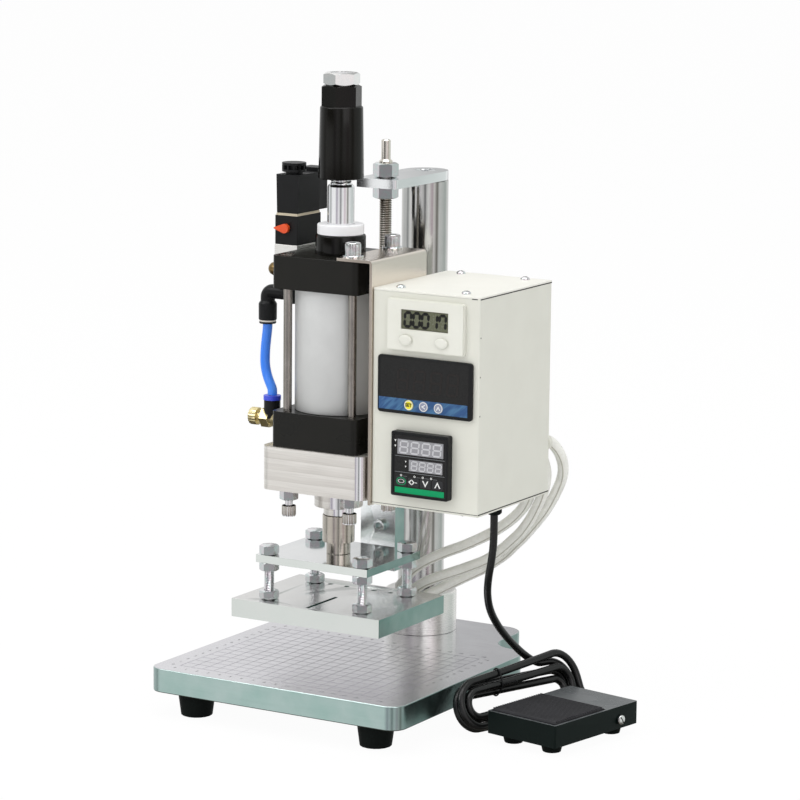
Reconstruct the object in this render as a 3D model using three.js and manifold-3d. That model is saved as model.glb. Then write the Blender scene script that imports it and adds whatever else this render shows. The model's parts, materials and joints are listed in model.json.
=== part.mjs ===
// Bench hot foil stamping press: an air cylinder on a column drives a heated platen on to a table,
// with a control box at its side and a foot switch on a tied cord.
// Millimetres, +Z up, the operator stands at -Y. The design frame has z = 0 on the bench
// and x = y = 0 on the axis of the ram; the last lines move it to the middle of the footprint.
import * as THREE from "three";
import { mergeVertices } from "three/addons/utils/BufferGeometryUtils.js";
import Module from "manifold-3d";

const wasm = await Module();
wasm.setup();

// Clearances
const seatGap = 0.1;
const runGap = 0.3;
const turnedGap = 0.4;
const cutOverrun = 2;

// Facets
const roundSides = 32;
const smallSides = 16;
const cornerSteps = 4;
const cordSides = 8;
const dropSteps = 30;
const tailSteps = 18;
const hoseSteps = 10;
const sleeveSteps = 26;
const hankSides = 6;
const hankStepsPerTurn = 24;
const quartersPerTurn = 4;

// Base plate and feet
const baseWidth = 220;
const baseFrontReach = 95;
const baseShoulderReach = 104;
const baseRearReach = 165;
const baseThickness = 18.5;
const baseFrontRadius = 12;
const tailWidth = 148;
const shoulderRadius = 20;
const coveRadius = 20;
const tailRadius = 17;
const footHeight = 18.5;
const footTopDiameter = 29;
const footBottomDiameter = 24;
const footSideInset = 31;
const footFrontInset = 21;
const tailFootInset = 20;

// Column, collar and top plate
const columnDiameter = 36;
const columnReach = 124;
const columnHeight = 356.5;
const collarDiameter = 57;
const collarHeight = 32;
const collarChamfer = 1.5;
const topPlateThickness = 7;
const topPlateReach = 75;
const topPlateRadius = 3;
const topScrewDiameter = 16;
const topScrewRecess = 0.6;
const topScrewSocket = 8;

// Lift screw with its two locked nuts
const liftReach = 64.5;
const liftDiameter = 10;
const liftBottomHeight = 178;
const liftStubDiameter = 7.2;
const liftStubLength = 18;
const liftStubChamfer = 0.8;
const liftCollarDiameter = 10.4;
const liftCollarHeight = 2;
const liftNutFlats = 17;
const liftUpperNutHeight = 10.6;
const liftLowerNutHeight = 8.6;

// Head arm
const armLift = 135.2;
const armWidth = 90;
const armHeight = 33;
const armFrontReach = 40;
const armShoulderReach = 42;
const armCornerRadius = 8;
const armNeckWidth = 62;
const clampRearReach = 34;
const clampSlit = 3;
const clampScrewReach = 26;
const clampScrewDiameter = 8;
const clampHeadDiameter = 13;
const clampHeadHeight = 8;
const clampSocket = 6;
const bossDiameter = 36.7;
const bossHeight = 14.3;
const glandDiameter = 22.7;
const glandHeight = 6.6;

// Stop screws under the arm
const stopSpacingX = 53.5;
const stopSpacingY = 56;
const stopDiameter = 6;
const stopNutFlats = 12;
const stopNutHeight = 8;
const stopGap = 4.8;
const stopHeadDiameter = 10.3;
const stopHeadHeight = 7.9;
const stopNutSink = 0.5;
const stopSocket = 5;
const stopSocketDepth = 3;

// Lift nut block under the arm
const nutBlockWidth = 31;
const nutBlockDepth = 13.8;
const nutBlockHeight = 75;
const lockScrewOffset = 3;
const lockScrewDrop = 40;
const lockScrewDiameter = 10;
const lockScrewHeight = 4;
const lockScrewSocket = 5;
const lockScrewSocketDepth = 3;

// Air cylinder
const capWidth = 75;
const capCornerRadius = 5;
const bottomCapHeight = 26.8;
const topCapHeight = 25;
const barrelLength = 92.5;
const barrelDiameter = 67.5;
const boreDiameter = 63;
const tieSpacing = 56.5;
const tieDiameter = 6.6;
const tieHeadDiameter = 11.6;
const tieHeadHeight = 9;
const tieSocket = 5.5;
const tieSocketDepth = 3.5;
const tieWasherDiameter = 15.6;
const tieWasherThickness = 1.6;
const sunkHeadDepth = 10;
const bearingDiameter = 37.8;
const bearingHeight = 14.7;
const bearingChamfer = 1.2;
const bufferDiameter = 35;
const bufferHeight = 7.6;
const bufferChamfer = 0.8;

// Ram
const stroke = 33.8;
const rodDiameter = 20;
const rodShoulderDrop = 4.3;
const rodThreadDiameter = 16;
const rodThreadPitch = 2;
const rodThreadDepth = 1;
const pistonDiameter = 62.4;
const pistonHeight = 18;
const pistonRest = 1;
const spigotDiameter = 12;
const spigotLength = 14;
const sleeveBottomDiameter = 34;
const sleeveTopDiameter = 32;
const sleeveHeight = 53.7;
const sleeveFillet = 1;
const sleeveHexFlats = 26.5;
const sleeveHexHeight = 15.6;
const topNutFlats = 24;
const topNutHeight = 9.3;
const couplingDiameter = 24.4;
const couplingHeight = 20.6;
const couplingFootDiameter = 18.2;
const couplingFootHeight = 9.2;
const couplingRestGap = 0.5;

// Upper plate, platen and stand-off bolts
const upperPlateWidth = 98;
const upperPlateDepth = 78;
const upperPlateThickness = 6;
const platenSideReach = 16;
const platenEndReach = 9;
const platenThickness = 14;
const platenSpacing = 28.3;
const platenSlotWidth = 3;
const platenSlotDepth = 3;
const platenSlotLength = 42;
const platenSlotInset = 4;
const platenHoleDiameter = 4;
const platenHoleDepth = 6;
const platenHoleInner = 12.2;
const platenHoleOuter = 26.8;
const platenHoleReach = 32.5;
const heaterBoreDiameter = 6.5;
const heaterBoreDepth = 84;
const heaterBoreFirst = 16;
const heaterBoreSpacing = 11.5;
const boltInsetX = 7.8;
const boltInsetY = 6.4;
const boltDiameter = 8;
const boltHeadFlats = 13;
const boltHeadHeight = 7;
const boltNutHeight = 6.4;
const boltSinkDepth = 8;

// Side bracket
const bracketThickness = 2.2;
const bracketOuterReach = 50.5;
const bracketInnerReach = 20;
const bracketFrontReach = 38;
const bracketRearReach = 41;
const bracketFootDrop = 1;
const bracketBendRadius = 3;
const bracketHoleDiameter = 8;

// Control box
const boxWidth = 90;
const boxDepth = 108;
const boxHeight = 161.5;
const boxFrontReach = 36;
const boxWall = 1.6;
const boxLift = 170.8;
const boxCornerRadius = 1.2;
const lidScrewDiameter = 7;
const lidScrewHeight = 2;
const lidScrewInsetX = 17.5;
const lidScrewInsetY = 10;
const cordGlandInsetX = 81;
const cordGlandInsetY = 41;
const cordGlandDiameter = 11.5;
const cordGlandHeight = 5.6;
const cordGlandChamfer = 1.5;
const bushDiameter = 12;
const bushLength = 3.5;
// Each bush on the rear wall: share of the width from the left, share of the height from the floor
const bushPlace_shares = [
  [0.7422, 0.1065],
  [0.8778, 0.1635],
  [0.9467, 0.2353],
];
// The height that the three devices leave free: above the counter, the meter and the controller
const panelGap_shares = [0.176, 0.136, 0.373];

// Counter
const counterWidth = 64.5;
const counterHeight = 38;
const counterThickness = 3.6;
const counterInsetX = 13.8;
const counterBevel = 1.2;
const counterBodyInset = 3;
const counterBodyDepth = 14;
const counterWindowWidth = 39.6;
const counterWindowHeight = 14.6;
const counterWindowInsetX = 12;
const counterWindowInsetZ = 7.4;
const counterWindowDepth = 0.8;
const counterButtonDiameter = 8;
const counterButtonHeight = 3;
const counterButtonProud = 1.1;
const counterButtonWell = 3.3;
const counterButtonInsetX = 16.5;
const counterButtonSpacing = 30.1;
const counterButtonDrop = 29.8;

// Meter
const meterWidth = 79.5;
const meterHeight = 42.5;
const meterThickness = 2.4;
const meterInsetX = 5.8;
const meterRadius = 2.6;
const meterBodyInset = 3;
const meterBodyDepth = 30;
const meterKeyDiameter = 7.6;
const meterKeyHeight = 1.3;
const meterKeyProud = 0.4;
const meterKeyWell = 1.6;
const meterKeyInsetX = 26.7;
const meterKeySpacing = 12.5;
const meterKeyDrop = 35.5;

// Temperature controller
const controllerSize = 48;
const controllerThickness = 6.7;
const controllerInsetX = 20.4;
const controllerRadius = 1.5;
const controllerRim = 2.2;
const controllerRecess = 0.9;
const controllerBodyInset = 1.6;
const controllerBodyDepth = 50;

// Solenoid valve
const valveWidth = 20.3;
const valveFrontInset = 1;
const valveDepth = 34;
const valveBaseHeight = 32.3;
const valveBaseLift = 320;
const pilotHeight = 22;
const pilotInset = 0.3;
const pilotPlateHeight = 1.6;
const pilotPlateInset = 0.9;
const coilHeight = 29;
const coilTopWidth = 19.4;
const coilBottomWidth = 18;
const coilDepth = 31;
const plugWidth = 15;
const plugDepth = 14;
const plugHeight = 32;
const knobDiameter = 18.6;
const knobWaistDiameter = 13;
const knobHeight = 8.6;
const knobRibHeight = 1.8;
const leverDiameter = 7.2;
const leverLength = 8.6;
const leverTipDiameter = 1.2;
const leverThickness = 3;
const leverRise = 12.4;
const leverShaftDiameter = 3;
const leverShaftLength = 3;

// Air fittings and hose
const brassPlugDiameter = 10.6;
const brassPlugLength = 11;
const brassPlugHexFlats = 12;
const brassPlugHexLength = 4;
const brassPlugReach = 22;
const brassPlugDrop = 12.5;
const elbowReachX = 69.5;
const elbowReachY = 8;
const elbowStudReachX = 48;
const elbowLegDiameter = 11;
const elbowBodyDiameter = 14;
const elbowDrop = 29;
const elbowAxisDrop = 5.7;
const elbowRingDiameter = 13;
const elbowRingHeight = 2;
const hoseDiameter = 7.4;
const flowReachX = 60;
const flowBodyDiameter = 12;
const flowPortDiameter = 12.8;
const flowPortRise = 17.5;
const flowRingHeight = 3.5;
const flowRingDiameter = 13.6;
const flowHexFlats = 14;
const flowHexLength = 7.4;
const flowKnobDiameter = 13.6;
const flowKnobLength = 6.5;
const flowKnobNeckDiameter = 8;
const flowKnobNeckLength = 4;
const flowKnobKnurls = 18;
const flowKnobKnurlDepth = 0.5;

// Foot switch
const pedalWidth = 64;
const pedalDepth = 98;
const pedalHeight = 17;
const pedalTurn = -10.5;
const pedalPlaceX = 184;
const pedalPlaceY = 20;
const pedalWall = 2;
const pedalFootHeight = 7;
const pedalFootTopDiameter = 17;
const pedalFootBottomDiameter = 13.6;
const pedalFootInset = 14;
const pedalBaseThickness = 2;
const pedalCoverLength = 36;
const pedalCoverThickness = 1.6;
const pedalRadius = 1.5;
const treadThickness = 3.6;
const treadGap = 0.9;
const treadRibPitch = 2.4;
const treadRibHeight = 0.8;
const treadRise = 0.6;
const treadArmWidth = 40;
const treadArmThickness = 3;
const treadBarrelDiameter = 8;
const pivotReach = 27;
const pivotHeight = 14;
const pivotDiameter = 4;
const pivotHeadDiameter = 7.4;
const pivotHeadHeight = 2;
const tailBushDiameter = 9;
const tailBushLength = 3;
const tailBushOffset = 4;
const tailBushHeight = 13.4;

// Cords
const cordDiameter = 5.8;
const sleeveDiameter = 8.4;

// Routes: [x, y, z] in the design frame, chosen by hand
const cordDropRoute = [
  [131.6, 5, 164.8],
  [131.7, 4.8, 153.4],
  [131.6, 4.4, 142.2],
  [130.5, 4, 130.7],
  [127.8, 4.6, 116],
  [125.9, 7, 104.6],
  [124.4, 13.4, 91.4],
  [124.8, 23, 78.4],
  [125.8, 35, 66.6],
  [127.4, 47, 56.2],
  [130, 56, 48.4],
  [133.4, 62.4, 43],
  [136.4, 66.8, 40.2],
  [137.2, 68.5, 39.6],
  [137.9, 70.4, 39.4],
];
const cordTailRoute = [
  [159.9, 91.6, 20.4],
  [160.7, 91.5, 18.3],
  [163.2, 92.2, 14],
  [168.4, 94.8, 10.8],
  [175.4, 97.4, 9.6],
  [183.2, 97.8, 9.8],
  [190.6, 94.6, 10.8],
  [196, 88.4, 12],
  [198.4, 80.6, 13],
  [198.1, 74.1, 13.4],
  [197.55, 70.75, 13.4],
];
const hoseRoute = [
  [-69.5, 8, 290.5],
  [-69.7, 8, 285.5],
  [-70.6, 7.8, 277],
  [-70.9, 6.9, 268],
  [-69.8, 5.2, 258],
  [-66.4, 3, 250],
  [-62.2, 0.9, 244],
  [-60, 0, 240.6],
  [-60, 0, 236.5],
];
const sleeveUpperRoute = [
  [16, 48.3, 79.7],
  [16, 50.3, 79.7],
  [17.4, 54.6, 81.2],
  [22.4, 57.6, 89],
  [30.4, 58.6, 99.4],
  [41.9, 60, 108.2],
  [55.1, 66, 115.4],
  [67.4, 73, 120.9],
  [76.4, 78, 125.6],
  [85.4, 82, 130.9],
  [93, 84, 136.2],
  [100.8, 86, 142.4],
  [106.8, 87.6, 148.6],
  [111.6, 88.6, 155],
  [115.6, 89, 164],
  [117.2, 87.4, 174.6],
  [117.4, 83.4, 183],
  [117.4, 79, 188],
  [117.4, 75.8, 188],
];
const sleeveMiddleRoute = [
  [27.5, 48.3, 79.7],
  [27.5, 50.3, 79.7],
  [29.4, 54.2, 81.4],
  [35, 58, 87],
  [43.6, 61, 92.8],
  [55.2, 67.4, 97.8],
  [66, 75, 102.2],
  [73.2, 79.4, 105.4],
  [80.9, 83.6, 109.2],
  [87.6, 86.6, 114.1],
  [94.3, 88.8, 120],
  [100.6, 90, 126.1],
  [106.9, 91, 132.6],
  [112.4, 91.4, 139.9],
  [117.1, 91.6, 147.4],
  [120.7, 91.6, 154.4],
  [124.6, 91.6, 163],
  [127.6, 90.8, 172.4],
  [129.4, 88.6, 182.4],
  [129.6, 84.4, 191.4],
  [129.6, 79.4, 197.2],
  [129.6, 75.8, 197.2],
];
const sleeveLowerRoute = [
  [39, 48.3, 79.7],
  [39, 50.3, 79.7],
  [40.6, 55.6, 80.4],
  [45.4, 64, 83],
  [52.4, 72.6, 87.4],
  [61, 81.4, 92.6],
  [68.4, 88, 96.9],
  [74.7, 92.8, 100.6],
  [82.1, 96.4, 106.2],
  [90, 99.2, 112.6],
  [96.6, 100.6, 119.6],
  [104.4, 101.4, 127.6],
  [110.6, 101.8, 134.9],
  [117, 102, 142.7],
  [123, 102, 150.6],
  [128.2, 101.6, 158.9],
  [132.9, 100.2, 167],
  [137.6, 97.6, 175.4],
  [141, 94.4, 184.4],
  [141.4, 90.6, 194.4],
  [139, 85.6, 203.4],
  [135.8, 79.8, 208.8],
  [135.8, 75.8, 208.8],
];

// Tied hank of the foot switch cord
const hankTurns = 4.125;
const hankInnerRadius = 6;
const hankPitch = 7;
const hankLayerStep = 6.6;
const hankRun = 84;
const hankCentreX = 134.2;
const hankCentreY = 34;
const hankTurn = -17;
const hankLean = 22;
const hankRearLift_share = 0.18;
const hankClimbTurns = 0.5;

// Levels
const baseTop = footHeight + baseThickness;
const topPlateBottom = baseTop + columnHeight;
const topPlateTop = topPlateBottom + topPlateThickness;
const armBottom = baseTop + armLift;
const armTop = armBottom + armHeight;
const bottomCapTop = armTop + bottomCapHeight;
const barrelTop = bottomCapTop + barrelLength;
const capTop = barrelTop + topCapHeight;
const bearingTop = capTop + bearingHeight;
const bufferTop = bearingTop + bufferHeight;
const sleeveBottom = bufferTop + stroke;
const sleeveTop = sleeveBottom + sleeveHeight;
const sleeveHexTop = sleeveTop + sleeveHexHeight;
const rodTop = sleeveHexTop + topNutHeight;
const rodShoulder = sleeveBottom - rodShoulderDrop;
const couplingTop = armBottom - bossHeight - glandHeight - couplingRestGap;
const couplingFootTop = couplingTop - couplingHeight;
const upperPlateTop = couplingFootTop - couplingFootHeight;
const upperPlateBottom = upperPlateTop - upperPlateThickness;
const boltSpacingX = upperPlateWidth - 2 * boltInsetX;
const boltSpacingY = upperPlateDepth - 2 * boltInsetY;
const platenWidth = upperPlateWidth + 2 * platenSideReach;
const platenDepth = upperPlateDepth + 2 * platenEndReach;
const platenTop = upperPlateBottom - platenSpacing;
const platenBottom = platenTop - platenThickness;
const boxTop = boxLift + boxHeight;
const boxLeft = bracketOuterReach + seatGap;
const boxRear = boxDepth - boxFrontReach;
const panelFree = boxHeight - counterHeight - meterHeight - controllerSize;
const counterInsetZ = panelGap_shares[0] * panelFree;
const meterInsetZ = counterInsetZ + counterHeight + panelGap_shares[1] * panelFree;
const controllerInsetZ = meterInsetZ + meterHeight + panelGap_shares[2] * panelFree;
const bracketTop = capTop + seatGap + bracketThickness;

// Shapes and solids
function roundedOutline(width, depth, radius, x = 0, y = 0) {
  const shape = new THREE.Shape();
  const left = x - width / 2;
  const front = y - depth / 2;
  shape.moveTo(left + radius, front);
  shape.lineTo(left + width - radius, front);
  shape.absarc(left + width - radius, front + radius, radius, -Math.PI / 2, 0);
  shape.absarc(left + width - radius, front + depth - radius, radius, 0, Math.PI / 2);
  shape.absarc(left + radius, front + depth - radius, radius, Math.PI / 2, Math.PI);
  shape.absarc(left + radius, front + radius, radius, Math.PI, 1.5 * Math.PI);
  return shape;
}

function extruded(shape, height) {
  return new THREE.ExtrudeGeometry(shape, {
    depth: height,
    bevelEnabled: false,
    curveSegments: cornerSteps,
  });
}

function polygon(points) {
  return new THREE.Shape(points.map(([x, y]) => new THREE.Vector2(x, y)));
}

// A block centred on x = y = 0 that stands on z = 0.
function block(width, depth, height) {
  return new THREE.BoxGeometry(width, depth, height).translate(0, 0, height / 2);
}

// A round or many-sided bar that stands on z = 0.
function bar(diameter, height, sides = roundSides, topDiameter = diameter) {
  return new THREE.CylinderGeometry(topDiameter / 2, diameter / 2, height, sides)
    .rotateX(Math.PI / 2)
    .translate(0, 0, height / 2);
}

function hexBar(flats, height) {
  return bar((2 * flats) / Math.sqrt(3), height, 6);
}

// A turned piece from [diameter, z] pairs, listed from the bottom to the top.
function turned(profile, sides = roundSides) {
  const points = profile.map(([diameter, z]) => new THREE.Vector2(diameter / 2, z));
  return new THREE.LatheGeometry(points, sides).rotateX(Math.PI / 2);
}

// A flat bar of round ends or a block whose long way lies along X or Y.
function alongX(geometry) {
  return geometry.rotateY(Math.PI / 2);
}

function alongY(geometry) {
  return geometry.rotateX(-Math.PI / 2);
}

function toManifold(geometry) {
  const bare = geometry.index ? geometry.toNonIndexed() : geometry.clone();
  bare.deleteAttribute("normal");
  bare.deleteAttribute("uv");
  const merged = mergeVertices(bare, seatGap / 100);
  return new wasm.Manifold(
    new wasm.Mesh({
      numProp: 3,
      vertProperties: merged.attributes.position.array,
      triVerts: new Uint32Array(merged.index.array),
    }),
  );
}

function toGeometry(manifold) {
  const mesh = manifold.getMesh();
  const geometry = new THREE.BufferGeometry();
  const positions = new Float32Array(mesh.numVert * 3);
  for (let i = 0; i < mesh.numVert; i += 1) {
    const start = i * mesh.numProp;
    positions.set(mesh.vertProperties.subarray(start, start + 3), i * 3);
  }
  geometry.setAttribute("position", new THREE.BufferAttribute(positions, 3));
  geometry.setIndex(new THREE.BufferAttribute(mesh.triVerts, 1));
  const flat = geometry.toNonIndexed();
  flat.computeVertexNormals();
  return flat;
}

function join(...geometries) {
  return toGeometry(geometries.map(toManifold).reduce((sum, one) => sum.add(one)));
}

function cut(body, ...cutters) {
  return toGeometry(
    cutters.map(toManifold).reduce((rest, one) => rest.subtract(one), toManifold(body)),
  );
}

// A round tube along hand-chosen points.
function tubeAlong(points, diameter, sides, steps) {
  const curve = new THREE.CatmullRomCurve3(
    points.map(([x, y, z]) => new THREE.Vector3(x, y, z)),
    false,
    "centripetal",
  );
  const outline = new THREE.Shape();
  for (let i = 0; i < sides; i += 1) {
    const angle = (2 * Math.PI * i) / sides;
    const x = (diameter / 2) * Math.cos(angle);
    const y = (diameter / 2) * Math.sin(angle);
    if (i === 0) outline.moveTo(x, y);
    else outline.lineTo(x, y);
  }
  outline.closePath();
  return new THREE.ExtrudeGeometry(outline, { steps, extrudePath: curve });
}

// Materials
function finish(color, roughness, metalness = 0) {
  return new THREE.MeshStandardMaterial({ color, roughness, metalness });
}

const brushedAluminium = finish(0xd8dad6, 0.35, 0.9);
const mirrorAluminium = finish(0xd2d6d3, 0.15, 1);
const chrome = finish(0xdddddd, 0.1, 1);
const steel = finish(0xb8b4ac, 0.3, 1);
const zinc = finish(0xc6cdd0, 0.25, 1);
const blackAnodised = finish(0x1d1d1c, 0.4, 0.3);
const blackPlastic = finish(0x1e1f20, 0.5);
const blackRubber = finish(0x161616, 0.85);
const blackPaint = finish(0x222324, 0.45);
const whitePaint = finish(0xe9e8e0, 0.5);
const ivoryPlastic = finish(0xeeece0, 0.45);
const whiteNylon = finish(0xefeff2, 0.5);
const barrelGrey = finish(0xd0d1d1, 0.55, 0.2);
const brass = finish(0xb79a55, 0.35, 1);
const orangePlastic = finish(0xe8521f, 0.45);
const bluePlastic = finish(0x1f4fd6, 0.35);
const yellowPlastic = finish(0xe8c520, 0.45);
const greyPlastic = finish(0xb5bac0, 0.45);
const paleSleeve = finish(0xd9dad2, 0.6);

const machine = new THREE.Group();
const cordMeshes = new Set();

function add(name, geometry, material, parent = machine) {
  const mesh = new THREE.Mesh(geometry, material);
  mesh.name = name;
  parent.add(mesh);
  return mesh;
}

// Stand
function baseOutline() {
  const side = baseWidth / 2;
  const tail = tailWidth / 2;
  const shoulder = baseShoulderReach;
  const shape = new THREE.Shape();
  const front = -baseFrontReach;
  shape.moveTo(-side + baseFrontRadius, front);
  shape.lineTo(side - baseFrontRadius, front);
  shape.absarc(side - baseFrontRadius, front + baseFrontRadius, baseFrontRadius, -Math.PI / 2, 0);
  shape.absarc(side - shoulderRadius, shoulder - shoulderRadius, shoulderRadius, 0, 0.4 * Math.PI);
  const coveX = tail + coveRadius;
  const coveY = shoulder + coveRadius;
  shape.absarc(coveX, coveY, coveRadius, 1.4 * Math.PI, Math.PI, true);
  const rear = baseRearReach;
  shape.absarc(tail - tailRadius, rear - tailRadius, tailRadius, 0, Math.PI / 2);
  shape.absarc(-tail + tailRadius, rear - tailRadius, tailRadius, Math.PI / 2, Math.PI);
  shape.absarc(-coveX, coveY, coveRadius, 0, -0.4 * Math.PI, true);
  shape.absarc(-side + shoulderRadius, shoulder - shoulderRadius, shoulderRadius, 0.6 * Math.PI, Math.PI);
  shape.absarc(-side + baseFrontRadius, front + baseFrontRadius, baseFrontRadius, Math.PI, 1.5 * Math.PI);
  return shape;
}

add("base_plate", extruded(baseOutline(), baseThickness).translate(0, 0, footHeight), mirrorAluminium);

const footSide = baseWidth / 2 - footSideInset;
const footFront = footFrontInset - baseFrontReach;
const tailFootSide = tailWidth / 2 - tailFootInset;
const tailFootRear = baseRearReach - tailFootInset;
const footPlaces = [
  ["foot_front_left", -footSide, footFront],
  ["foot_front_right", footSide, footFront],
  ["foot_rear_left", -tailFootSide, tailFootRear],
  ["foot_rear_right", tailFootSide, tailFootRear],
];
for (const [name, x, y] of footPlaces) {
  const foot = bar(footBottomDiameter, footHeight - seatGap, smallSides, footTopDiameter);
  add(name, foot.translate(x, y, 0), blackRubber);
}

function collar() {
  const bore = columnDiameter + 2 * runGap;
  const ring = turned([
    [bore, 0],
    [collarDiameter, 0],
    [collarDiameter, collarHeight - collarChamfer],
    [collarDiameter - 2 * collarChamfer, collarHeight],
    [bore, collarHeight],
    [bore, 0],
  ]);
  return ring.translate(0, columnReach, baseTop + seatGap);
}
add("column_collar", collar(), brushedAluminium);
const column = bar(columnDiameter, columnHeight - 2 * seatGap);
add("column", column.translate(0, columnReach, baseTop + seatGap), chrome);

function topPlate() {
  const side = columnDiameter / 2;
  const front = columnReach - topPlateReach;
  const shape = new THREE.Shape();
  shape.moveTo(-side + topPlateRadius, front);
  shape.lineTo(side - topPlateRadius, front);
  shape.absarc(side - topPlateRadius, front + topPlateRadius, topPlateRadius, -Math.PI / 2, 0);
  shape.absarc(0, columnReach, side, 0, Math.PI);
  shape.absarc(-side + topPlateRadius, front + topPlateRadius, topPlateRadius, Math.PI, 1.5 * Math.PI);
  const plate = extruded(shape, topPlateThickness).translate(0, 0, topPlateBottom);
  const screwHole = bar(liftDiameter + 2 * runGap, topPlateThickness + 2 * cutOverrun);
  screwHole.translate(0, liftReach, topPlateBottom - cutOverrun);
  const headRecess = bar(topScrewDiameter, topScrewRecess + cutOverrun);
  headRecess.translate(0, columnReach, topPlateTop - topScrewRecess);
  const socket = hexBar(topScrewSocket, topPlateThickness / 2 + cutOverrun);
  socket.translate(0, columnReach, topPlateTop - topPlateThickness / 2);
  return cut(plate, screwHole, headRecess, socket);
}
add("top_plate", topPlate(), brushedAluminium);

// Lift screw: the two nuts are locked on the screw and hold the plate between them.
function liftScrew() {
  const nutTop = topPlateTop + runGap + liftUpperNutHeight;
  const shaft = turned(
    [
      [0, liftBottomHeight],
      [liftDiameter, liftBottomHeight],
      [liftDiameter, nutTop],
      [liftCollarDiameter, nutTop],
      [liftCollarDiameter, nutTop + liftCollarHeight],
      [liftStubDiameter, nutTop + liftCollarHeight],
      [liftStubDiameter, nutTop + liftStubLength - liftStubChamfer],
      [liftStubDiameter - 2 * liftStubChamfer, nutTop + liftStubLength],
      [0, nutTop + liftStubLength],
    ],
    smallSides,
  );
  const upper = hexBar(liftNutFlats, liftUpperNutHeight).translate(0, 0, topPlateTop + runGap);
  const lower = hexBar(liftNutFlats, liftLowerNutHeight);
  lower.translate(0, 0, topPlateBottom - runGap - liftLowerNutHeight);
  return join(shaft, upper, lower).translate(0, liftReach, 0);
}
add("lift_screw", liftScrew(), zinc);

// Head arm: a thick plate that clamps round the column behind and carries the cylinder in front
function stopScrew() {
  const nutBottom = -stopNutHeight;
  const headTop = nutBottom - stopGap;
  const shank = bar(stopDiameter, stopNutHeight + stopGap + cutOverrun, smallSides);
  shank.translate(0, 0, headTop);
  const nut = hexBar(stopNutFlats, stopNutHeight + stopNutSink).translate(0, 0, nutBottom);
  const head = bar(stopHeadDiameter, stopHeadHeight, smallSides);
  head.translate(0, 0, headTop - stopHeadHeight);
  const socket = hexBar(stopSocket, stopSocketDepth + cutOverrun);
  socket.translate(0, 0, headTop - stopHeadHeight - cutOverrun);
  return cut(join(shank, nut, head), socket);
}

function headArm() {
  const side = armWidth / 2;
  const neck = armNeckWidth / 2;
  const rear = columnReach + clampRearReach;
  const shape = new THREE.Shape();
  const front = -armFrontReach;
  shape.moveTo(-side + armCornerRadius, front);
  shape.absarc(side - armCornerRadius, front + armCornerRadius, armCornerRadius, -Math.PI / 2, 0);
  shape.lineTo(side, armShoulderReach);
  shape.lineTo(neck, armShoulderReach);
  shape.absarc(neck - armCornerRadius, rear - armCornerRadius, armCornerRadius, 0, Math.PI / 2);
  shape.absarc(armCornerRadius - neck, rear - armCornerRadius, armCornerRadius, Math.PI / 2, Math.PI);
  shape.lineTo(-neck, armShoulderReach);
  shape.lineTo(-side, armShoulderReach);
  shape.absarc(-side + armCornerRadius, front + armCornerRadius, armCornerRadius, Math.PI, 1.5 * Math.PI);
  const plate = extruded(shape, armHeight);
  const boss = bar(bossDiameter, bossHeight + cutOverrun).translate(0, 0, -bossHeight);
  const gland = bar(glandDiameter, glandHeight + bossHeight).translate(0, 0, -bossHeight - glandHeight);
  const stops = [-1, 1].flatMap((sx) =>
    [-1, 1].map((sy) => stopScrew().translate((sx * stopSpacingX) / 2, (sy * stopSpacingY) / 2, 0)),
  );
  const low = -bossHeight - glandHeight - cutOverrun;
  const through = armHeight - low + cutOverrun;
  const rodBore = bar(rodDiameter + 2 * runGap, through).translate(0, 0, low);
  const liftBore = bar(liftDiameter + 2 * runGap, armHeight + 2 * cutOverrun, smallSides);
  liftBore.translate(0, liftReach, -cutOverrun);
  const columnBore = bar(columnDiameter + 2 * runGap, armHeight + 2 * cutOverrun);
  columnBore.translate(0, columnReach, -cutOverrun);
  const slit = block(clampSlit, clampRearReach, armHeight + 2 * cutOverrun);
  slit.translate(0, columnReach + columnDiameter / 2 + clampRearReach / 2, -cutOverrun);
  const screwHole = bar(clampScrewDiameter + 2 * runGap, armNeckWidth + 2 * cutOverrun, smallSides);
  alongX(screwHole).translate(-neck - cutOverrun, columnReach + clampScrewReach, armHeight / 2);
  const body = cut(join(plate, boss, gland, ...stops), rodBore, liftBore, columnBore, slit, screwHole);
  return body.translate(0, 0, armBottom);
}
add("head_arm", headArm(), brushedAluminium);

function clampScrew() {
  const shank = bar(clampScrewDiameter, armNeckWidth + clampHeadHeight / 2, smallSides);
  const head = bar(clampHeadDiameter, clampHeadHeight, smallSides).translate(0, 0, -clampHeadHeight);
  const socket = hexBar(clampSocket, clampHeadHeight / 2 + cutOverrun);
  socket.translate(0, 0, -clampHeadHeight - cutOverrun);
  const screw = alongX(cut(join(shank, head), socket));
  const left = -armNeckWidth / 2 - seatGap;
  return screw.translate(left, columnReach + clampScrewReach, armBottom + armHeight / 2);
}
add("arm_clamp_screw", clampScrew(), steel);

function liftNutBlock() {
  const body = block(nutBlockWidth, nutBlockDepth, nutBlockHeight);
  const bore = bar(liftDiameter + 2 * runGap, nutBlockHeight + 2 * cutOverrun, smallSides);
  bore.translate(0, 0, -cutOverrun);
  const screwFace = -nutBlockDepth / 2 - lockScrewHeight;
  const screwHeight = nutBlockHeight - lockScrewDrop;
  const head = alongY(bar(lockScrewDiameter, lockScrewHeight + seatGap, smallSides));
  head.translate(lockScrewOffset, screwFace, screwHeight);
  const socket = alongY(hexBar(lockScrewSocket, lockScrewSocketDepth + cutOverrun));
  socket.translate(lockScrewOffset, screwFace - cutOverrun, screwHeight);
  const whole = cut(join(body, head), bore, socket);
  return whole.translate(0, liftReach, armBottom - nutBlockHeight - seatGap);
}
add("lift_nut_block", liftNutBlock(), brushedAluminium);

// Air cylinder: caps, barrel and four tie rods
const tiePlaces = [
  [-1, -1],
  [1, -1],
  [1, 1],
  [-1, 1],
];

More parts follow.
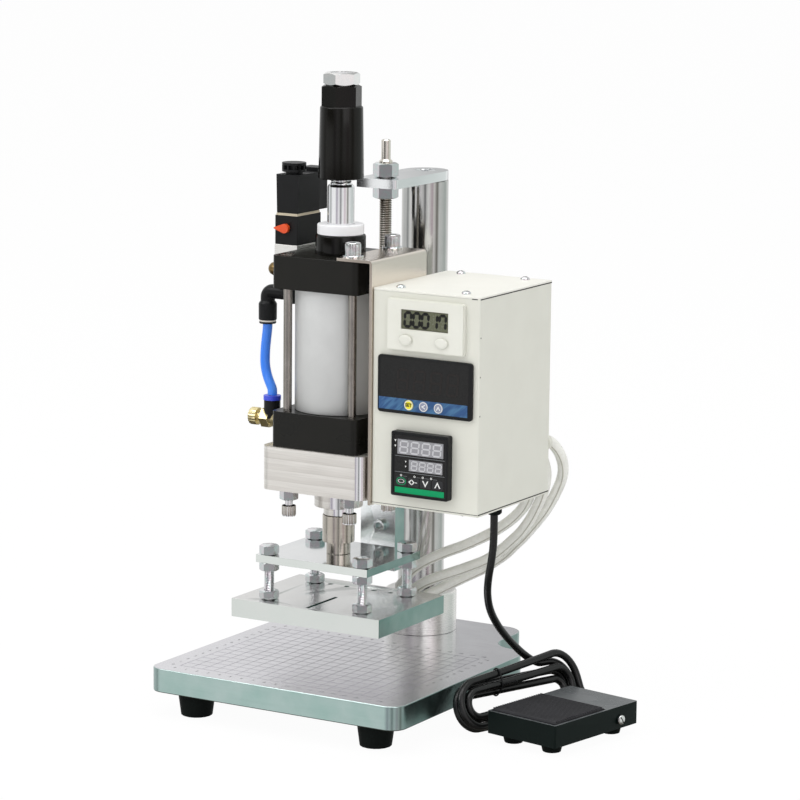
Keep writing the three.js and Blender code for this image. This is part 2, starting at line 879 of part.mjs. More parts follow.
function bottomCap() {
  const cap = extruded(roundedOutline(capWidth, capWidth, capCornerRadius), bottomCapHeight - seatGap);
  const bore = bar(rodDiameter + 2 * runGap, bottomCapHeight + 2 * cutOverrun).translate(0, 0, -cutOverrun);
  let body = cut(cap.translate(0, 0, armTop + seatGap), bore.translate(0, 0, armTop));
  for (const [sx, sy] of tiePlaces) {
    const onFlange = sx > 0;
    const seat = onFlange ? bracketTop + seatGap : capTop - sunkHeadDepth + seatGap;
    const rodBottom = bottomCapTop - bottomCapHeight / 2;
    const rod = bar(tieDiameter, seat - rodBottom + tieWasherThickness, smallSides);
    rod.translate(0, 0, rodBottom);
    const washer = bar(onFlange ? tieWasherDiameter : tieHeadDiameter, tieWasherThickness, smallSides);
    washer.translate(0, 0, seat);
    const head = bar(tieHeadDiameter, tieHeadHeight, smallSides);
    head.translate(0, 0, seat + tieWasherThickness - seatGap);
    const socket = hexBar(tieSocket, tieSocketDepth + cutOverrun);
    socket.translate(0, 0, seat + tieWasherThickness + tieHeadHeight - tieSocketDepth);
    const whole = cut(join(rod, washer, head), socket);
    body = join(body, whole.translate((sx * tieSpacing) / 2, (sy * tieSpacing) / 2, 0));
  }
  return body;
}
add("bottom_cap", bottomCap(), blackAnodised);

function barrel() {
  const length = barrelLength - seatGap;
  const tube = turned([
    [boreDiameter, 0],
    [barrelDiameter, 0],
    [barrelDiameter, length],
    [boreDiameter, length],
    [boreDiameter, 0],
  ]);
  return tube.translate(0, 0, bottomCapTop + seatGap);
}
add("cylinder_barrel", barrel(), barrelGrey);

function topCap() {
  const cap = extruded(roundedOutline(capWidth, capWidth, capCornerRadius), topCapHeight - seatGap);
  cap.translate(0, 0, barrelTop + seatGap);
  const rodBore = bar(rodDiameter + 2 * runGap, topCapHeight + 2 * cutOverrun);
  const cutters = [rodBore.translate(0, 0, barrelTop - cutOverrun)];
  for (const [sx, sy] of tiePlaces) {
    const x = (sx * tieSpacing) / 2;
    const y = (sy * tieSpacing) / 2;
    const hole = bar(tieDiameter + 2 * runGap, topCapHeight + 2 * cutOverrun, smallSides);
    cutters.push(hole.translate(x, y, barrelTop - cutOverrun));
    if (sx < 0) {
      const sink = bar(tieHeadDiameter + 2 * runGap, sunkHeadDepth + cutOverrun, smallSides);
      cutters.push(sink.translate(x, y, capTop - sunkHeadDepth));
    }
  }
  return cut(cap, ...cutters);
}
add("top_cap", topCap(), blackAnodised);

function ringOn(z, outer, height, chamfer) {
  const bore = rodDiameter + 2 * runGap;
  return turned([
    [bore, 0],
    [outer, 0],
    [outer, height - chamfer],
    [outer - 2 * chamfer, height],
    [bore, height],
    [bore, 0],
  ]).translate(0, 0, z + seatGap);
}
add("rod_bearing", ringOn(capTop, bearingDiameter, bearingHeight - seatGap, bearingChamfer), blackAnodised);
add("buffer_washer", ringOn(bearingTop, bufferDiameter, bufferHeight - seatGap, bufferChamfer), whiteNylon);

// Ram: rod and piston, stroke sleeve, lock nut and coupling
function ramRod() {
  const pistonTop = barrelTop - pistonRest;
  const profile = [
    [0, couplingTop - spigotLength],
    [spigotDiameter, couplingTop - spigotLength],
    [spigotDiameter, couplingTop + seatGap],
    [rodDiameter, couplingTop + seatGap],
    [rodDiameter, pistonTop - pistonHeight],
    [pistonDiameter, pistonTop - pistonHeight],
    [pistonDiameter, pistonTop],
    [rodDiameter, pistonTop],
    [rodDiameter, rodShoulder],
  ];
  for (let z = rodShoulder; z < sleeveBottom; z += rodThreadPitch) {
    profile.push([rodThreadDiameter - 2 * rodThreadDepth, z]);
    profile.push([rodThreadDiameter, z + rodThreadPitch / 2]);
  }
  const lastTurn = profile[profile.length - 1];
  profile.push([rodThreadDiameter, lastTurn[1] + rodThreadPitch / 2]);
  profile.push([rodThreadDiameter, rodTop]);
  profile.push([0, rodTop]);
  return turned(profile);
}
add("ram_rod", ramRod(), chrome);

function strokeSleeve() {
  const bore = rodThreadDiameter + 2 * runGap;
  const barrelPart = turned([
    [bore, sleeveBottom],
    [sleeveBottomDiameter - 2 * sleeveFillet, sleeveBottom],
    [sleeveBottomDiameter, sleeveBottom + sleeveFillet],
    [sleeveTopDiameter, sleeveTop - sleeveFillet],
    [sleeveTopDiameter - 2 * sleeveFillet, sleeveTop],
    [bore, sleeveTop],
    [bore, sleeveBottom],
  ]);
  const hexPart = hexBar(sleeveHexFlats, sleeveHexHeight + sleeveFillet);
  hexPart.translate(0, 0, sleeveTop - sleeveFillet);
  const through = bar(bore, sleeveHexHeight + 2 * cutOverrun).translate(0, 0, sleeveTop - cutOverrun);
  return cut(join(barrelPart, hexPart), through);
}
add("stroke_sleeve", strokeSleeve(), blackAnodised);

function topNut() {
  const nut = hexBar(topNutFlats, topNutHeight - seatGap);
  const bore = bar(rodThreadDiameter + 2 * seatGap, topNutHeight + 2 * cutOverrun);
  return cut(nut, bore.translate(0, 0, -cutOverrun)).translate(0, 0, sleeveHexTop + seatGap);
}
add("top_nut", topNut(), zinc);

function ramCoupling() {
  const spigotBore = spigotDiameter + 2 * seatGap;
  const spigotFloor = couplingTop - spigotLength - seatGap;
  return turned([
    [0, upperPlateTop + seatGap],
    [couplingFootDiameter, upperPlateTop + seatGap],
    [couplingFootDiameter, couplingFootTop],
    [couplingDiameter, couplingFootTop],
    [couplingDiameter, couplingTop],
    [spigotBore, couplingTop],
    [spigotBore, spigotFloor],
    [0, spigotFloor],
  ]);
}
add("ram_coupling", ramCoupling(), steel);

// Upper plate, heated platen and the four stand-off bolts that level it
const boltPlaces = [
  ["bolt_front_left", -1, -1],
  ["bolt_front_right", 1, -1],
  ["bolt_rear_left", -1, 1],
  ["bolt_rear_right", 1, 1],
];

function boltHoles(bottom, height) {
  return boltPlaces.map(([, sx, sy]) =>
    bar(boltDiameter + 2 * runGap, height, smallSides).translate(
      (sx * boltSpacingX) / 2,
      (sy * boltSpacingY) / 2,
      bottom,
    ),
  );
}

function upperPlate() {
  const plate = block(upperPlateWidth, upperPlateDepth, upperPlateThickness);
  plate.translate(0, 0, upperPlateBottom);
  return cut(plate, ...boltHoles(upperPlateBottom - cutOverrun, upperPlateThickness + 2 * cutOverrun));
}
add("upper_plate", upperPlate(), mirrorAluminium);

const sleeveRoutes = [
  ["heater_sleeve_upper", sleeveUpperRoute],
  ["heater_sleeve_middle", sleeveMiddleRoute],
  ["heater_sleeve_lower", sleeveLowerRoute],
];

function platen() {
  const plate = block(platenWidth, platenDepth, platenThickness).translate(0, 0, platenBottom);
  const cutters = boltHoles(platenTop - boltSinkDepth - seatGap, boltSinkDepth + cutOverrun);
  const slot = block(platenSlotWidth, platenSlotLength, platenSlotDepth + cutOverrun);
  const slotMiddle = -platenDepth / 2 + platenSlotInset + platenSlotLength / 2;
  cutters.push(slot.translate(0, slotMiddle, platenTop - platenSlotDepth));
  for (const x of [-platenHoleOuter, -platenHoleInner, platenHoleInner, platenHoleOuter]) {
    const hole = bar(platenHoleDiameter, platenHoleDepth + cutOverrun, smallSides);
    cutters.push(hole.translate(x, platenHoleReach, platenTop - platenHoleDepth));
  }
  sleeveRoutes.forEach((route, i) => {
    const bore = alongY(bar(heaterBoreDiameter, heaterBoreDepth + cutOverrun, smallSides));
    const x = heaterBoreFirst + i * heaterBoreSpacing;
    cutters.push(bore.translate(x, platenDepth / 2 - heaterBoreDepth, platenBottom + platenThickness / 2));
  });
  return cut(plate, ...cutters);
}
add("heating_platen", platen(), mirrorAluminium);

function standoffBolt() {
  const shankBottom = platenTop - boltSinkDepth;
  const headBottom = upperPlateTop + seatGap;
  const shank = bar(boltDiameter, headBottom - shankBottom + seatGap, smallSides);
  shank.translate(0, 0, shankBottom);
  const head = hexBar(boltHeadFlats, boltHeadHeight).translate(0, 0, headBottom);
  const upperNut = hexBar(boltHeadFlats, boltNutHeight);
  upperNut.translate(0, 0, upperPlateBottom - seatGap - boltNutHeight);
  const lowerNut = hexBar(boltHeadFlats, boltNutHeight).translate(0, 0, platenTop + seatGap);
  return join(shank, head, upperNut, lowerNut);
}
for (const [name, sx, sy] of boltPlaces) {
  add(name, standoffBolt().translate((sx * boltSpacingX) / 2, (sy * boltSpacingY) / 2, 0), zinc);
}

// Side bracket: one bent sheet, held under the tie rod heads
function sideBracket() {
  const outer = bracketOuterReach;
  const inner = bracketOuterReach - bracketThickness;
  const under = bracketTop - bracketThickness;
  const foot = boxLift - bracketFootDrop;
  const bend = bracketBendRadius;
  const shape = new THREE.Shape();
  shape.moveTo(inner, foot);
  shape.lineTo(outer, foot);
  shape.absarc(outer - bend, bracketTop - bend, bend, 0, Math.PI / 2);
  shape.lineTo(bracketInnerReach, bracketTop);
  shape.lineTo(bracketInnerReach, under);
  const innerRadius = bend - bracketThickness;
  shape.absarc(inner - innerRadius, under - innerRadius, innerRadius, Math.PI / 2, 0, true);
  const length = bracketFrontReach + bracketRearReach;
  const sheet = extruded(shape, length).rotateX(Math.PI / 2).translate(0, bracketRearReach, 0);
  const holes = [-1, 1].map((sy) =>
    bar(bracketHoleDiameter, bracketThickness + 2 * cutOverrun, smallSides).translate(
      tieSpacing / 2,
      (sy * tieSpacing) / 2,
      under - cutOverrun,
    ),
  );
  return cut(sheet, ...holes);
}
add("side_bracket", sideBracket(), steel);

// Control box: walls, lid, floor and what is set in its front
const boxMiddleX = boxLeft + boxWidth / 2;
const boxMiddleY = boxRear - boxDepth / 2;
const panelY = -boxFrontReach;

function panelOpening(insetX, insetZ, width, height, bodyInset) {
  const wider = 2 * runGap - 2 * bodyInset;
  const opening = block(width + wider, boxWall + 2 * cutOverrun, height + wider);
  const z = boxTop - insetZ - height + bodyInset - runGap;
  return opening.translate(boxLeft + insetX + width / 2, panelY + boxWall / 2, z);
}

function boxCasing() {
  const height = boxHeight - 2 * boxWall - 2 * seatGap;
  const outline = roundedOutline(boxWidth, boxDepth, boxCornerRadius, boxMiddleX, boxMiddleY);
  const walls = extruded(outline, height).translate(0, 0, boxLift + boxWall + seatGap);
  const hollow = block(boxWidth - 2 * boxWall, boxDepth - 2 * boxWall, boxHeight + 2 * cutOverrun);
  hollow.translate(boxMiddleX, boxMiddleY, boxLift - cutOverrun);
  const openings = [
    panelOpening(counterInsetX, counterInsetZ, counterWidth, counterHeight, counterBodyInset),
    panelOpening(meterInsetX, meterInsetZ, meterWidth, meterHeight, meterBodyInset),
    panelOpening(controllerInsetX, controllerInsetZ, controllerSize, controllerSize, controllerBodyInset),
  ];
  const shell = cut(walls, hollow, ...openings);
  const bushes = bushPlace_shares.map(([x, z]) => {
    const bush = alongY(bar(bushDiameter, bushLength + boxWall / 2, smallSides));
    return bush.translate(boxLeft + x * boxWidth, boxRear - boxWall / 2, boxLift + z * boxHeight);
  });
  return join(shell, ...bushes);
}
add("box_casing", boxCasing(), whitePaint);

const lidScrewPlaces = [
  [lidScrewInsetX, lidScrewInsetY],
  [boxWidth - lidScrewInsetX, lidScrewInsetY],
  [lidScrewInsetX, boxDepth - lidScrewInsetY],
  [boxWidth - lidScrewInsetX, boxDepth - lidScrewInsetY],
];

function boxPlate(bottom, screwBase) {
  const outline = roundedOutline(boxWidth, boxDepth, boxCornerRadius, boxMiddleX, boxMiddleY);
  const plate = extruded(outline, boxWall).translate(0, 0, bottom);
  const screws = lidScrewPlaces.map(([x, y]) => {
    const screw = bar(lidScrewDiameter, lidScrewHeight + boxWall / 2, smallSides);
    return screw.translate(boxLeft + x, panelY + y, screwBase);
  });
  return join(plate, ...screws);
}
add("box_lid", boxPlate(boxTop - boxWall, boxTop - boxWall / 2), whitePaint);
add("box_floor", boxPlate(boxLift, boxLift - lidScrewHeight), whitePaint);

function cordGland() {
  const bottom = boxLift - seatGap - cordGlandHeight;
  const ring = turned(
    [
      [0, bottom],
      [cordGlandDiameter - 2 * cordGlandChamfer, bottom],
      [cordGlandDiameter, bottom + cordGlandChamfer],
      [cordGlandDiameter, boxLift - seatGap],
      [0, boxLift - seatGap],
    ],
    smallSides,
  );
  return ring.translate(boxLeft + cordGlandInsetX, panelY + cordGlandInsetY, 0);
}
add("cord_gland", cordGland(), blackRubber);

// A bezel of width by height whose lower left corner lies on x = z = 0, with its face at -Y.
function bezel(width, height, thickness, radius) {
  const outline = roundedOutline(width, height, radius, width / 2, height / 2);
  return extruded(outline, thickness).rotateX(Math.PI / 2);
}

function panelDevice(face, width, height, bodyInset, bodyDepth) {
  const rear = block(width - 2 * bodyInset, bodyDepth, height - 2 * bodyInset);
  return join(face, rear.translate(width / 2, bodyDepth / 2 - seatGap, bodyInset));
}

function wellIn(x, z, diameter, thickness, depth) {
  const well = alongY(bar(diameter, depth + cutOverrun, smallSides));
  return well.translate(x, -thickness - cutOverrun, z);
}

function counter() {
  const half = counterBevel / 2;
  const flat = bezel(counterWidth, counterHeight, counterThickness - counterBevel, counterBevel);
  const raised = bezel(counterWidth - 2 * half, counterHeight - 2 * half, counterThickness, counterBevel);
  const face = join(flat, raised.translate(half, 0, half));
  const whole = panelDevice(face, counterWidth, counterHeight, counterBodyInset, counterBodyDepth);
  const window = block(counterWindowWidth, counterWindowDepth + cutOverrun, counterWindowHeight);
  const windowX = counterWindowInsetX + counterWindowWidth / 2;
  const windowY = -counterThickness + counterWindowDepth - (counterWindowDepth + cutOverrun) / 2;
  window.translate(windowX, windowY, counterHeight - counterWindowInsetZ - counterWindowHeight);
  const wells = [0, 1].map((i) =>
    wellIn(
      counterButtonInsetX + i * counterButtonSpacing,
      counterHeight - counterButtonDrop,
      counterButtonDiameter + 2 * runGap,
      counterThickness,
      counterButtonWell,
    ),
  );
  const place = [boxLeft + counterInsetX, panelY - seatGap, boxTop - counterInsetZ - counterHeight];
  return cut(whole, window, ...wells).translate(...place);
}
add("counter", counter(), ivoryPlastic);

["counter_button_left", "counter_button_right"].forEach((name, i) => {
  const button = alongY(bar(counterButtonDiameter, counterButtonHeight, smallSides));
  const x = boxLeft + counterInsetX + counterButtonInsetX + i * counterButtonSpacing;
  const y = panelY - seatGap - counterThickness - counterButtonProud;
  add(name, button.translate(x, y, boxTop - counterInsetZ - counterButtonDrop), ivoryPlastic);
});

function meter() {
  const face = bezel(meterWidth, meterHeight, meterThickness, meterRadius);
  const whole = panelDevice(face, meterWidth, meterHeight, meterBodyInset, meterBodyDepth);
  const wells = [0, 1, 2].map((i) =>
    wellIn(
      meterKeyInsetX + i * meterKeySpacing,
      meterHeight - meterKeyDrop,
      meterKeyDiameter + 2 * runGap,
      meterThickness,
      meterKeyWell,
    ),
  );
  const place = [boxLeft + meterInsetX, panelY - seatGap, boxTop - meterInsetZ - meterHeight];
  return cut(whole, ...wells).translate(...place);
}
add("meter", meter(), blackPlastic);

const meterKeys = [
  ["meter_key_set", yellowPlastic],
  ["meter_key_shift", greyPlastic],
  ["meter_key_up", greyPlastic],
];
meterKeys.forEach(([name, material], i) => {
  const key = alongY(bar(meterKeyDiameter, meterKeyHeight, smallSides));
  const x = boxLeft + meterInsetX + meterKeyInsetX + i * meterKeySpacing;
  const y = panelY - seatGap - meterThickness - meterKeyProud;
  add(name, key.translate(x, y, boxTop - meterInsetZ - meterKeyDrop), material);
});

function controller() {
  const face = bezel(controllerSize, controllerSize, controllerThickness, controllerRadius);
  const whole = panelDevice(face, controllerSize, controllerSize, controllerBodyInset, controllerBodyDepth);
  const inner = controllerSize - 2 * controllerRim;
  const recess = block(inner, controllerRecess + cutOverrun, inner);
  const y = -controllerThickness + controllerRecess - (controllerRecess + cutOverrun) / 2;
  recess.translate(controllerSize / 2, y, controllerRim);
  const place = [boxLeft + controllerInsetX, panelY - seatGap, boxTop - controllerInsetZ - controllerSize];
  return cut(whole, recess).translate(...place);
}
add("temperature_controller", controller(), blackPlastic);

// Solenoid valve on the left of the top cap
const valveRight = -capWidth / 2 - seatGap;
const valveMiddleX = valveRight - valveWidth / 2;
const valveMiddleY = valveDepth / 2 - valveFrontInset;
const pilotBottom = valveBaseLift + valveBaseHeight;
const coilBottom = pilotBottom + pilotHeight + pilotPlateHeight;

const valveBase = block(valveWidth, valveDepth, valveBaseHeight - seatGap);
add("valve_base", valveBase.translate(valveMiddleX, valveMiddleY, valveBaseLift), brushedAluminium);

function valvePilot() {
  const body = block(valveWidth - 2 * pilotInset, valveDepth - 2 * pilotInset, pilotHeight);
  const plateWidth = valveWidth - 2 * pilotPlateInset;
  const plateDepth = valveDepth - 2 * pilotPlateInset;
  const plate = block(plateWidth, plateDepth, pilotPlateHeight + seatGap);
  plate.translate(0, 0, pilotHeight - seatGap);
  const shaftHole = alongY(bar(leverShaftDiameter + 2 * runGap, leverShaftLength + cutOverrun, smallSides));
  shaftHole.translate(0, -valveDepth / 2 + pilotInset - cutOverrun + runGap, leverRise);
  return cut(join(body, plate), shaftHole).translate(valveMiddleX, valveMiddleY, pilotBottom);
}
add("valve_pilot", valvePilot(), blackPlastic);

function overrideLever() {
  const big = leverDiameter / 2;
  const tip = leverTipDiameter / 2;
  const spread = Math.acos((big - tip) / leverLength);
  const shape = new THREE.Shape();
  shape.absarc(0, 0, big, Math.PI + spread, Math.PI - spread, false);
  shape.absarc(-leverLength, 0, tip, Math.PI - spread, Math.PI + spread, false);
  shape.closePath();
  const flag = extruded(shape, leverThickness).rotateX(Math.PI / 2);
  const shaft = alongY(bar(leverShaftDiameter, leverShaftLength, smallSides)).translate(0, -seatGap, 0);
  const y = valveMiddleY - valveDepth / 2 + pilotInset - runGap;
  return join(flag, shaft).translate(valveMiddleX, y, pilotBottom + leverRise);
}
add("override_lever", overrideLever(), orangePlastic);

function valveCoil() {
  const taper = polygon([
    [-coilBottomWidth / 2, 0],
    [coilBottomWidth / 2, 0],
    [coilTopWidth / 2, coilHeight],
    [-coilTopWidth / 2, coilHeight],
  ]);
  const front = valveMiddleY - coilDepth / 2;
  const coil = extruded(taper, coilDepth).rotateX(Math.PI / 2).translate(0, coilDepth, 0);
  const plug = block(plugWidth, plugDepth, plugHeight).translate(0, coilDepth + plugDepth / 2 - seatGap, 0);
  const knob = turned(
    [
      [0, coilHeight - seatGap],
      [knobWaistDiameter, coilHeight - seatGap],
      [knobWaistDiameter, coilHeight + knobRibHeight],
      [knobDiameter, coilHeight + knobRibHeight],
      [knobDiameter, coilHeight + 2 * knobRibHeight],
      [knobWaistDiameter, coilHeight + 2 * knobRibHeight],
      [knobWaistDiameter, coilHeight + knobHeight - knobRibHeight],
      [knobDiameter, coilHeight + knobHeight - knobRibHeight],
      [knobDiameter, coilHeight + knobHeight],
      [0, coilHeight + knobHeight],
    ],
    smallSides,
  );
  knob.translate(0, coilTopWidth / 2, 0);
  return join(coil, plug, knob).translate(valveMiddleX, front, coilBottom + seatGap);
}
add("valve_coil", valveCoil(), blackPlastic);

// Air fittings
function brassPlug() {
  const hex = hexBar(brassPlugHexFlats, brassPlugHexLength);
  const nose = bar(brassPlugDiameter, brassPlugLength, smallSides, brassPlugDiameter / 2);
  const whole = alongX(join(hex, nose)).rotateZ(Math.PI);
  return whole.translate(-capWidth / 2 - seatGap, -brassPlugReach, capTop - brassPlugDrop);
}
add("brass_plug", brassPlug(), brass);

function elbowFitting() {
  const axisZ = valveBaseLift - elbowAxisDrop;
  const stud = bar(elbowLegDiameter, elbowAxisDrop + elbowLegDiameter / 2 - seatGap, smallSides);
  stud.translate(-elbowStudReachX, 0, axisZ - elbowLegDiameter / 2);
  const leg = alongX(bar(elbowLegDiameter, elbowReachX - elbowStudReachX, smallSides));
  leg.translate(-elbowReachX, 0, axisZ);
  const low = axisZ + elbowLegDiameter / 2 - elbowDrop;
  const down = turned(
    [
      [0, low],
      [elbowRingDiameter, low],
      [elbowRingDiameter, low + elbowRingHeight],
      [elbowBodyDiameter, low + elbowRingHeight],
      [elbowBodyDiameter, axisZ - elbowLegDiameter / 2],
      [elbowLegDiameter, axisZ],
      [elbowLegDiameter / 2, axisZ + elbowLegDiameter / 2],
      [0, axisZ + elbowLegDiameter / 2],
    ],
    smallSides,
  );
  down.translate(-elbowReachX, 0, 0);
  return join(stud, leg, down).translate(0, elbowReachY, 0);
}
add("elbow_fitting", elbowFitting(), blackPlastic);

const flowAxisZ = armTop + bottomCapHeight / 2;

function flowValve() {
  const length = flowReachX - capWidth / 2 - seatGap;
  const pipe = alongX(bar(flowBodyDiameter, length, smallSides)).translate(-flowReachX, 0, flowAxisZ);
  const hex = alongX(hexBar(flowHexFlats, flowHexLength));
  hex.translate(-flowReachX - flowHexLength, 0, flowAxisZ);
  const portTop = flowAxisZ + flowPortRise;
  const port = bar(flowPortDiameter, flowPortRise, smallSides).translate(-flowReachX, 0, flowAxisZ);
  const ring = bar(flowRingDiameter, flowRingHeight, smallSides);
  ring.translate(-flowReachX, 0, portTop - flowRingHeight);
  return join(pipe, hex, port, ring);
}
add("flow_valve", flowValve(), brass);

function flowKnob() {
  const neck = bar(flowKnobNeckDiameter, flowKnobNeckLength + seatGap, smallSides);
  const grip = new THREE.Shape();
  const steps = 2 * flowKnobKnurls;
  for (let i = 0; i < steps; i += 1) {
    const radius = flowKnobDiameter / 2 - (i % 2) * flowKnobKnurlDepth;
    const angle = (2 * Math.PI * i) / steps;
    if (i === 0) grip.moveTo(radius, 0);
    else grip.lineTo(radius * Math.cos(angle), radius * Math.sin(angle));
  }
  const wheel = extruded(grip, flowKnobLength).translate(0, 0, flowKnobNeckLength);
  const whole = alongX(join(neck, wheel)).rotateZ(Math.PI);
  return whole.translate(-flowReachX - flowHexLength - runGap, 0, flowAxisZ);
}
add("flow_knob", flowKnob(), brass);

// Foot switch: everything is built square and turned as one group
const pedal = new THREE.Group();
pedal.position.set(pedalPlaceX, pedalPlaceY, 0);
pedal.rotation.z = THREE.MathUtils.degToRad(pedalTurn);
machine.add(pedal);
const pedalBottom = pedalFootHeight;
const pedalTop = pedalFootHeight + pedalHeight;

function pedalBase() {
  const inner = 2 * (pedalWall + turnedGap);
  const plate = block(pedalWidth - inner, pedalDepth - inner, pedalBaseThickness);
  plate.translate(0, 0, pedalBottom);
  const side = pedalWidth / 2 - pedalFootInset;
  const end = pedalDepth / 2 - pedalFootInset;
  const feet = tiePlaces.map(([sx, sy]) =>
    bar(pedalFootBottomDiameter, pedalFootHeight + seatGap, smallSides, pedalFootTopDiameter).translate(
      sx * side,
      sy * end,
      0,
    ),
  );
  return join(plate, ...feet);
}
add("pedal_base", pedalBase(), blackRubber, pedal);

function pedalHousing() {
  const walls = extruded(roundedOutline(pedalWidth, pedalDepth, pedalRadius), pedalHeight);
  walls.translate(0, 0, pedalBottom);
  const coverFront = pedalDepth / 2 - pedalCoverLength;
  const innerWidth = pedalWidth - 2 * pedalWall;
  const hollowHeight = pedalHeight - pedalCoverThickness + cutOverrun;
  const hollow = block(innerWidth, pedalDepth - 2 * pedalWall, hollowHeight);
  hollow.translate(0, 0, pedalBottom - cutOverrun);
  const windowLength = pedalDepth - pedalWall - pedalCoverLength;
  const window = block(innerWidth, windowLength, pedalHeight + 2 * cutOverrun);
  window.translate(0, coverFront - windowLength / 2, pedalBottom - cutOverrun);
  const pinHole = bar(pivotDiameter + 2 * turnedGap, pedalWidth + 2 * cutOverrun, smallSides);
  alongX(pinHole).translate(-pedalWidth / 2 - cutOverrun, pivotReach, pivotHeight);
  const bush = alongY(bar(tailBushDiameter, tailBushLength + pedalWall / 2, smallSides));
  bush.translate(tailBushOffset, pedalDepth / 2 - pedalWall / 2, tailBushHeight);
  return join(cut(walls, hollow, window, pinHole), bush);
}
add("pedal_housing", pedalHousing(), blackPaint, pedal);

function pedalTread() {
  const width = pedalWidth - 2 * pedalWall - 2 * treadGap;
  const front = -pedalDepth / 2 + pedalWall + treadGap;
  const rear = pedalDepth / 2 - pedalCoverLength - treadGap;
  const length = rear - front;
  const top = pedalTop + treadRise;
  const plate = block(width, length, treadThickness).translate(0, front + length / 2, top - treadThickness);
  const outline = new THREE.Shape();
  const ribs = Math.floor(length / treadRibPitch);
  outline.moveTo(front, -treadRibHeight);
  outline.lineTo(front, 0);
  for (let i = 0; i < ribs; i += 1) {
    outline.lineTo(front + (i + 0.5) * treadRibPitch, treadRibHeight);
    outline.lineTo(front + (i + 1) * treadRibPitch, 0);
  }
  outline.lineTo(front + ribs * treadRibPitch, -treadRibHeight);
  const ribbed = extruded(outline, width).rotateX(Math.PI / 2).rotateZ(Math.PI / 2);
  ribbed.translate(-width / 2, 0, top);
  const armLength = pivotReach - rear + treadThickness;
  const arm = block(treadArmWidth, armLength, treadArmThickness);
  arm.translate(0, rear - treadThickness + armLength / 2, pivotHeight - treadArmThickness / 2);
  const web = block(treadArmWidth, treadArmThickness, top - pivotHeight);
  web.translate(0, rear - treadArmThickness, pivotHeight - treadArmThickness / 2);
  const barrelPart = alongX(bar(treadBarrelDiameter, treadArmWidth, smallSides));
  barrelPart.translate(-treadArmWidth / 2, pivotReach, pivotHeight);
  const pinHole = alongX(bar(pivotDiameter + 2 * turnedGap, treadArmWidth + 2 * cutOverrun, smallSides));
  pinHole.translate(-treadArmWidth / 2 - cutOverrun, pivotReach, pivotHeight);
  return cut(join(plate, ribbed, arm, web, barrelPart), pinHole);
}
add("pedal_tread", pedalTread(), blackRubber, pedal);

function pivotPin() {
  const length = pedalWidth + 2 * turnedGap;
  const pin = alongX(bar(pivotDiameter, length, smallSides)).translate(-length / 2, 0, 0);
  const head = alongX(bar(pivotHeadDiameter, pivotHeadHeight, smallSides)).translate(length / 2, 0, 0);
  return join(pin, head).translate(0, pivotReach, pivotHeight);
}
add("pedal_pivot_pin", pivotPin(), zinc, pedal);

// Cords
function addCord(name, geometry, material) {
  cordMeshes.add(add(name, geometry, material));
}

// The point of the hank's centre line at a share of its length. Each turn is a fold at the rear,
// a run forwards, a fold at the front and a run back. The turns spiral in on the first layer,
// climb to the second while they reverse, and spiral out again. The loops lean on the base.
function hankPoint(share) {
  const turn = share * hankTurns;
  const past = turn - hankTurns / 2;
  const outerRadius = hankInnerRadius + (hankPitch * hankTurns) / 2;
  const radius = hankInnerRadius + hankPitch * Math.abs(past);
  const layer = THREE.MathUtils.clamp(past / hankClimbTurns + 0.5, 0, 1);
  const inTurn = (turn % 1) * quartersPerTurn;
  const quarter = Math.floor(inTurn);
  const part = inTurn - quarter;
  const half = hankRun / 2;
  const foldAngle = Math.PI * (0.5 - part);
  const places = [
    [half + radius * Math.cos(foldAngle), radius * Math.sin(foldAngle)],
    [half - hankRun * part, -radius],
    [-half - radius * Math.cos(foldAngle), -radius * Math.sin(foldAngle)],
    [hankRun * part - half, radius],
  ];
  const along = places[quarter][0];
  const lifting = THREE.MathUtils.clamp((past - hankClimbTurns / 2) / (hankTurns / 2), 0, 1);
  const rearShare = Math.max(0, along / hankRun + 0.5);
  const lift = 1 + hankRearLift_share * lifting * rearShare;
  const across = (places[quarter][1] + outerRadius - hankPitch / 4) * lift;
  const lean = THREE.MathUtils.degToRad(hankLean);
  const heading = THREE.MathUtils.degToRad(hankTurn);
  const step = layer * hankLayerStep;
  const side = (outerRadius - across) * Math.sin(lean) + step * Math.cos(lean);
  const x = hankCentreX + side * Math.cos(heading) - along * Math.sin(heading);
  const y = hankCentreY + side * Math.sin(heading) + along * Math.cos(heading);
  const z = cordDiameter / 2 + across * Math.cos(lean) + step * Math.sin(lean);
  return new THREE.Vector3(x, y, z);
}

// The far end of the straight stretch, one diameter long, that leads out of the first or last turn
function straightEnd(share, inside) {
  const end = hankPoint(share);
  const outwards = end.clone().sub(hankPoint(inside)).normalize();
  return end.addScaledVector(outwards, cordDiameter);
}

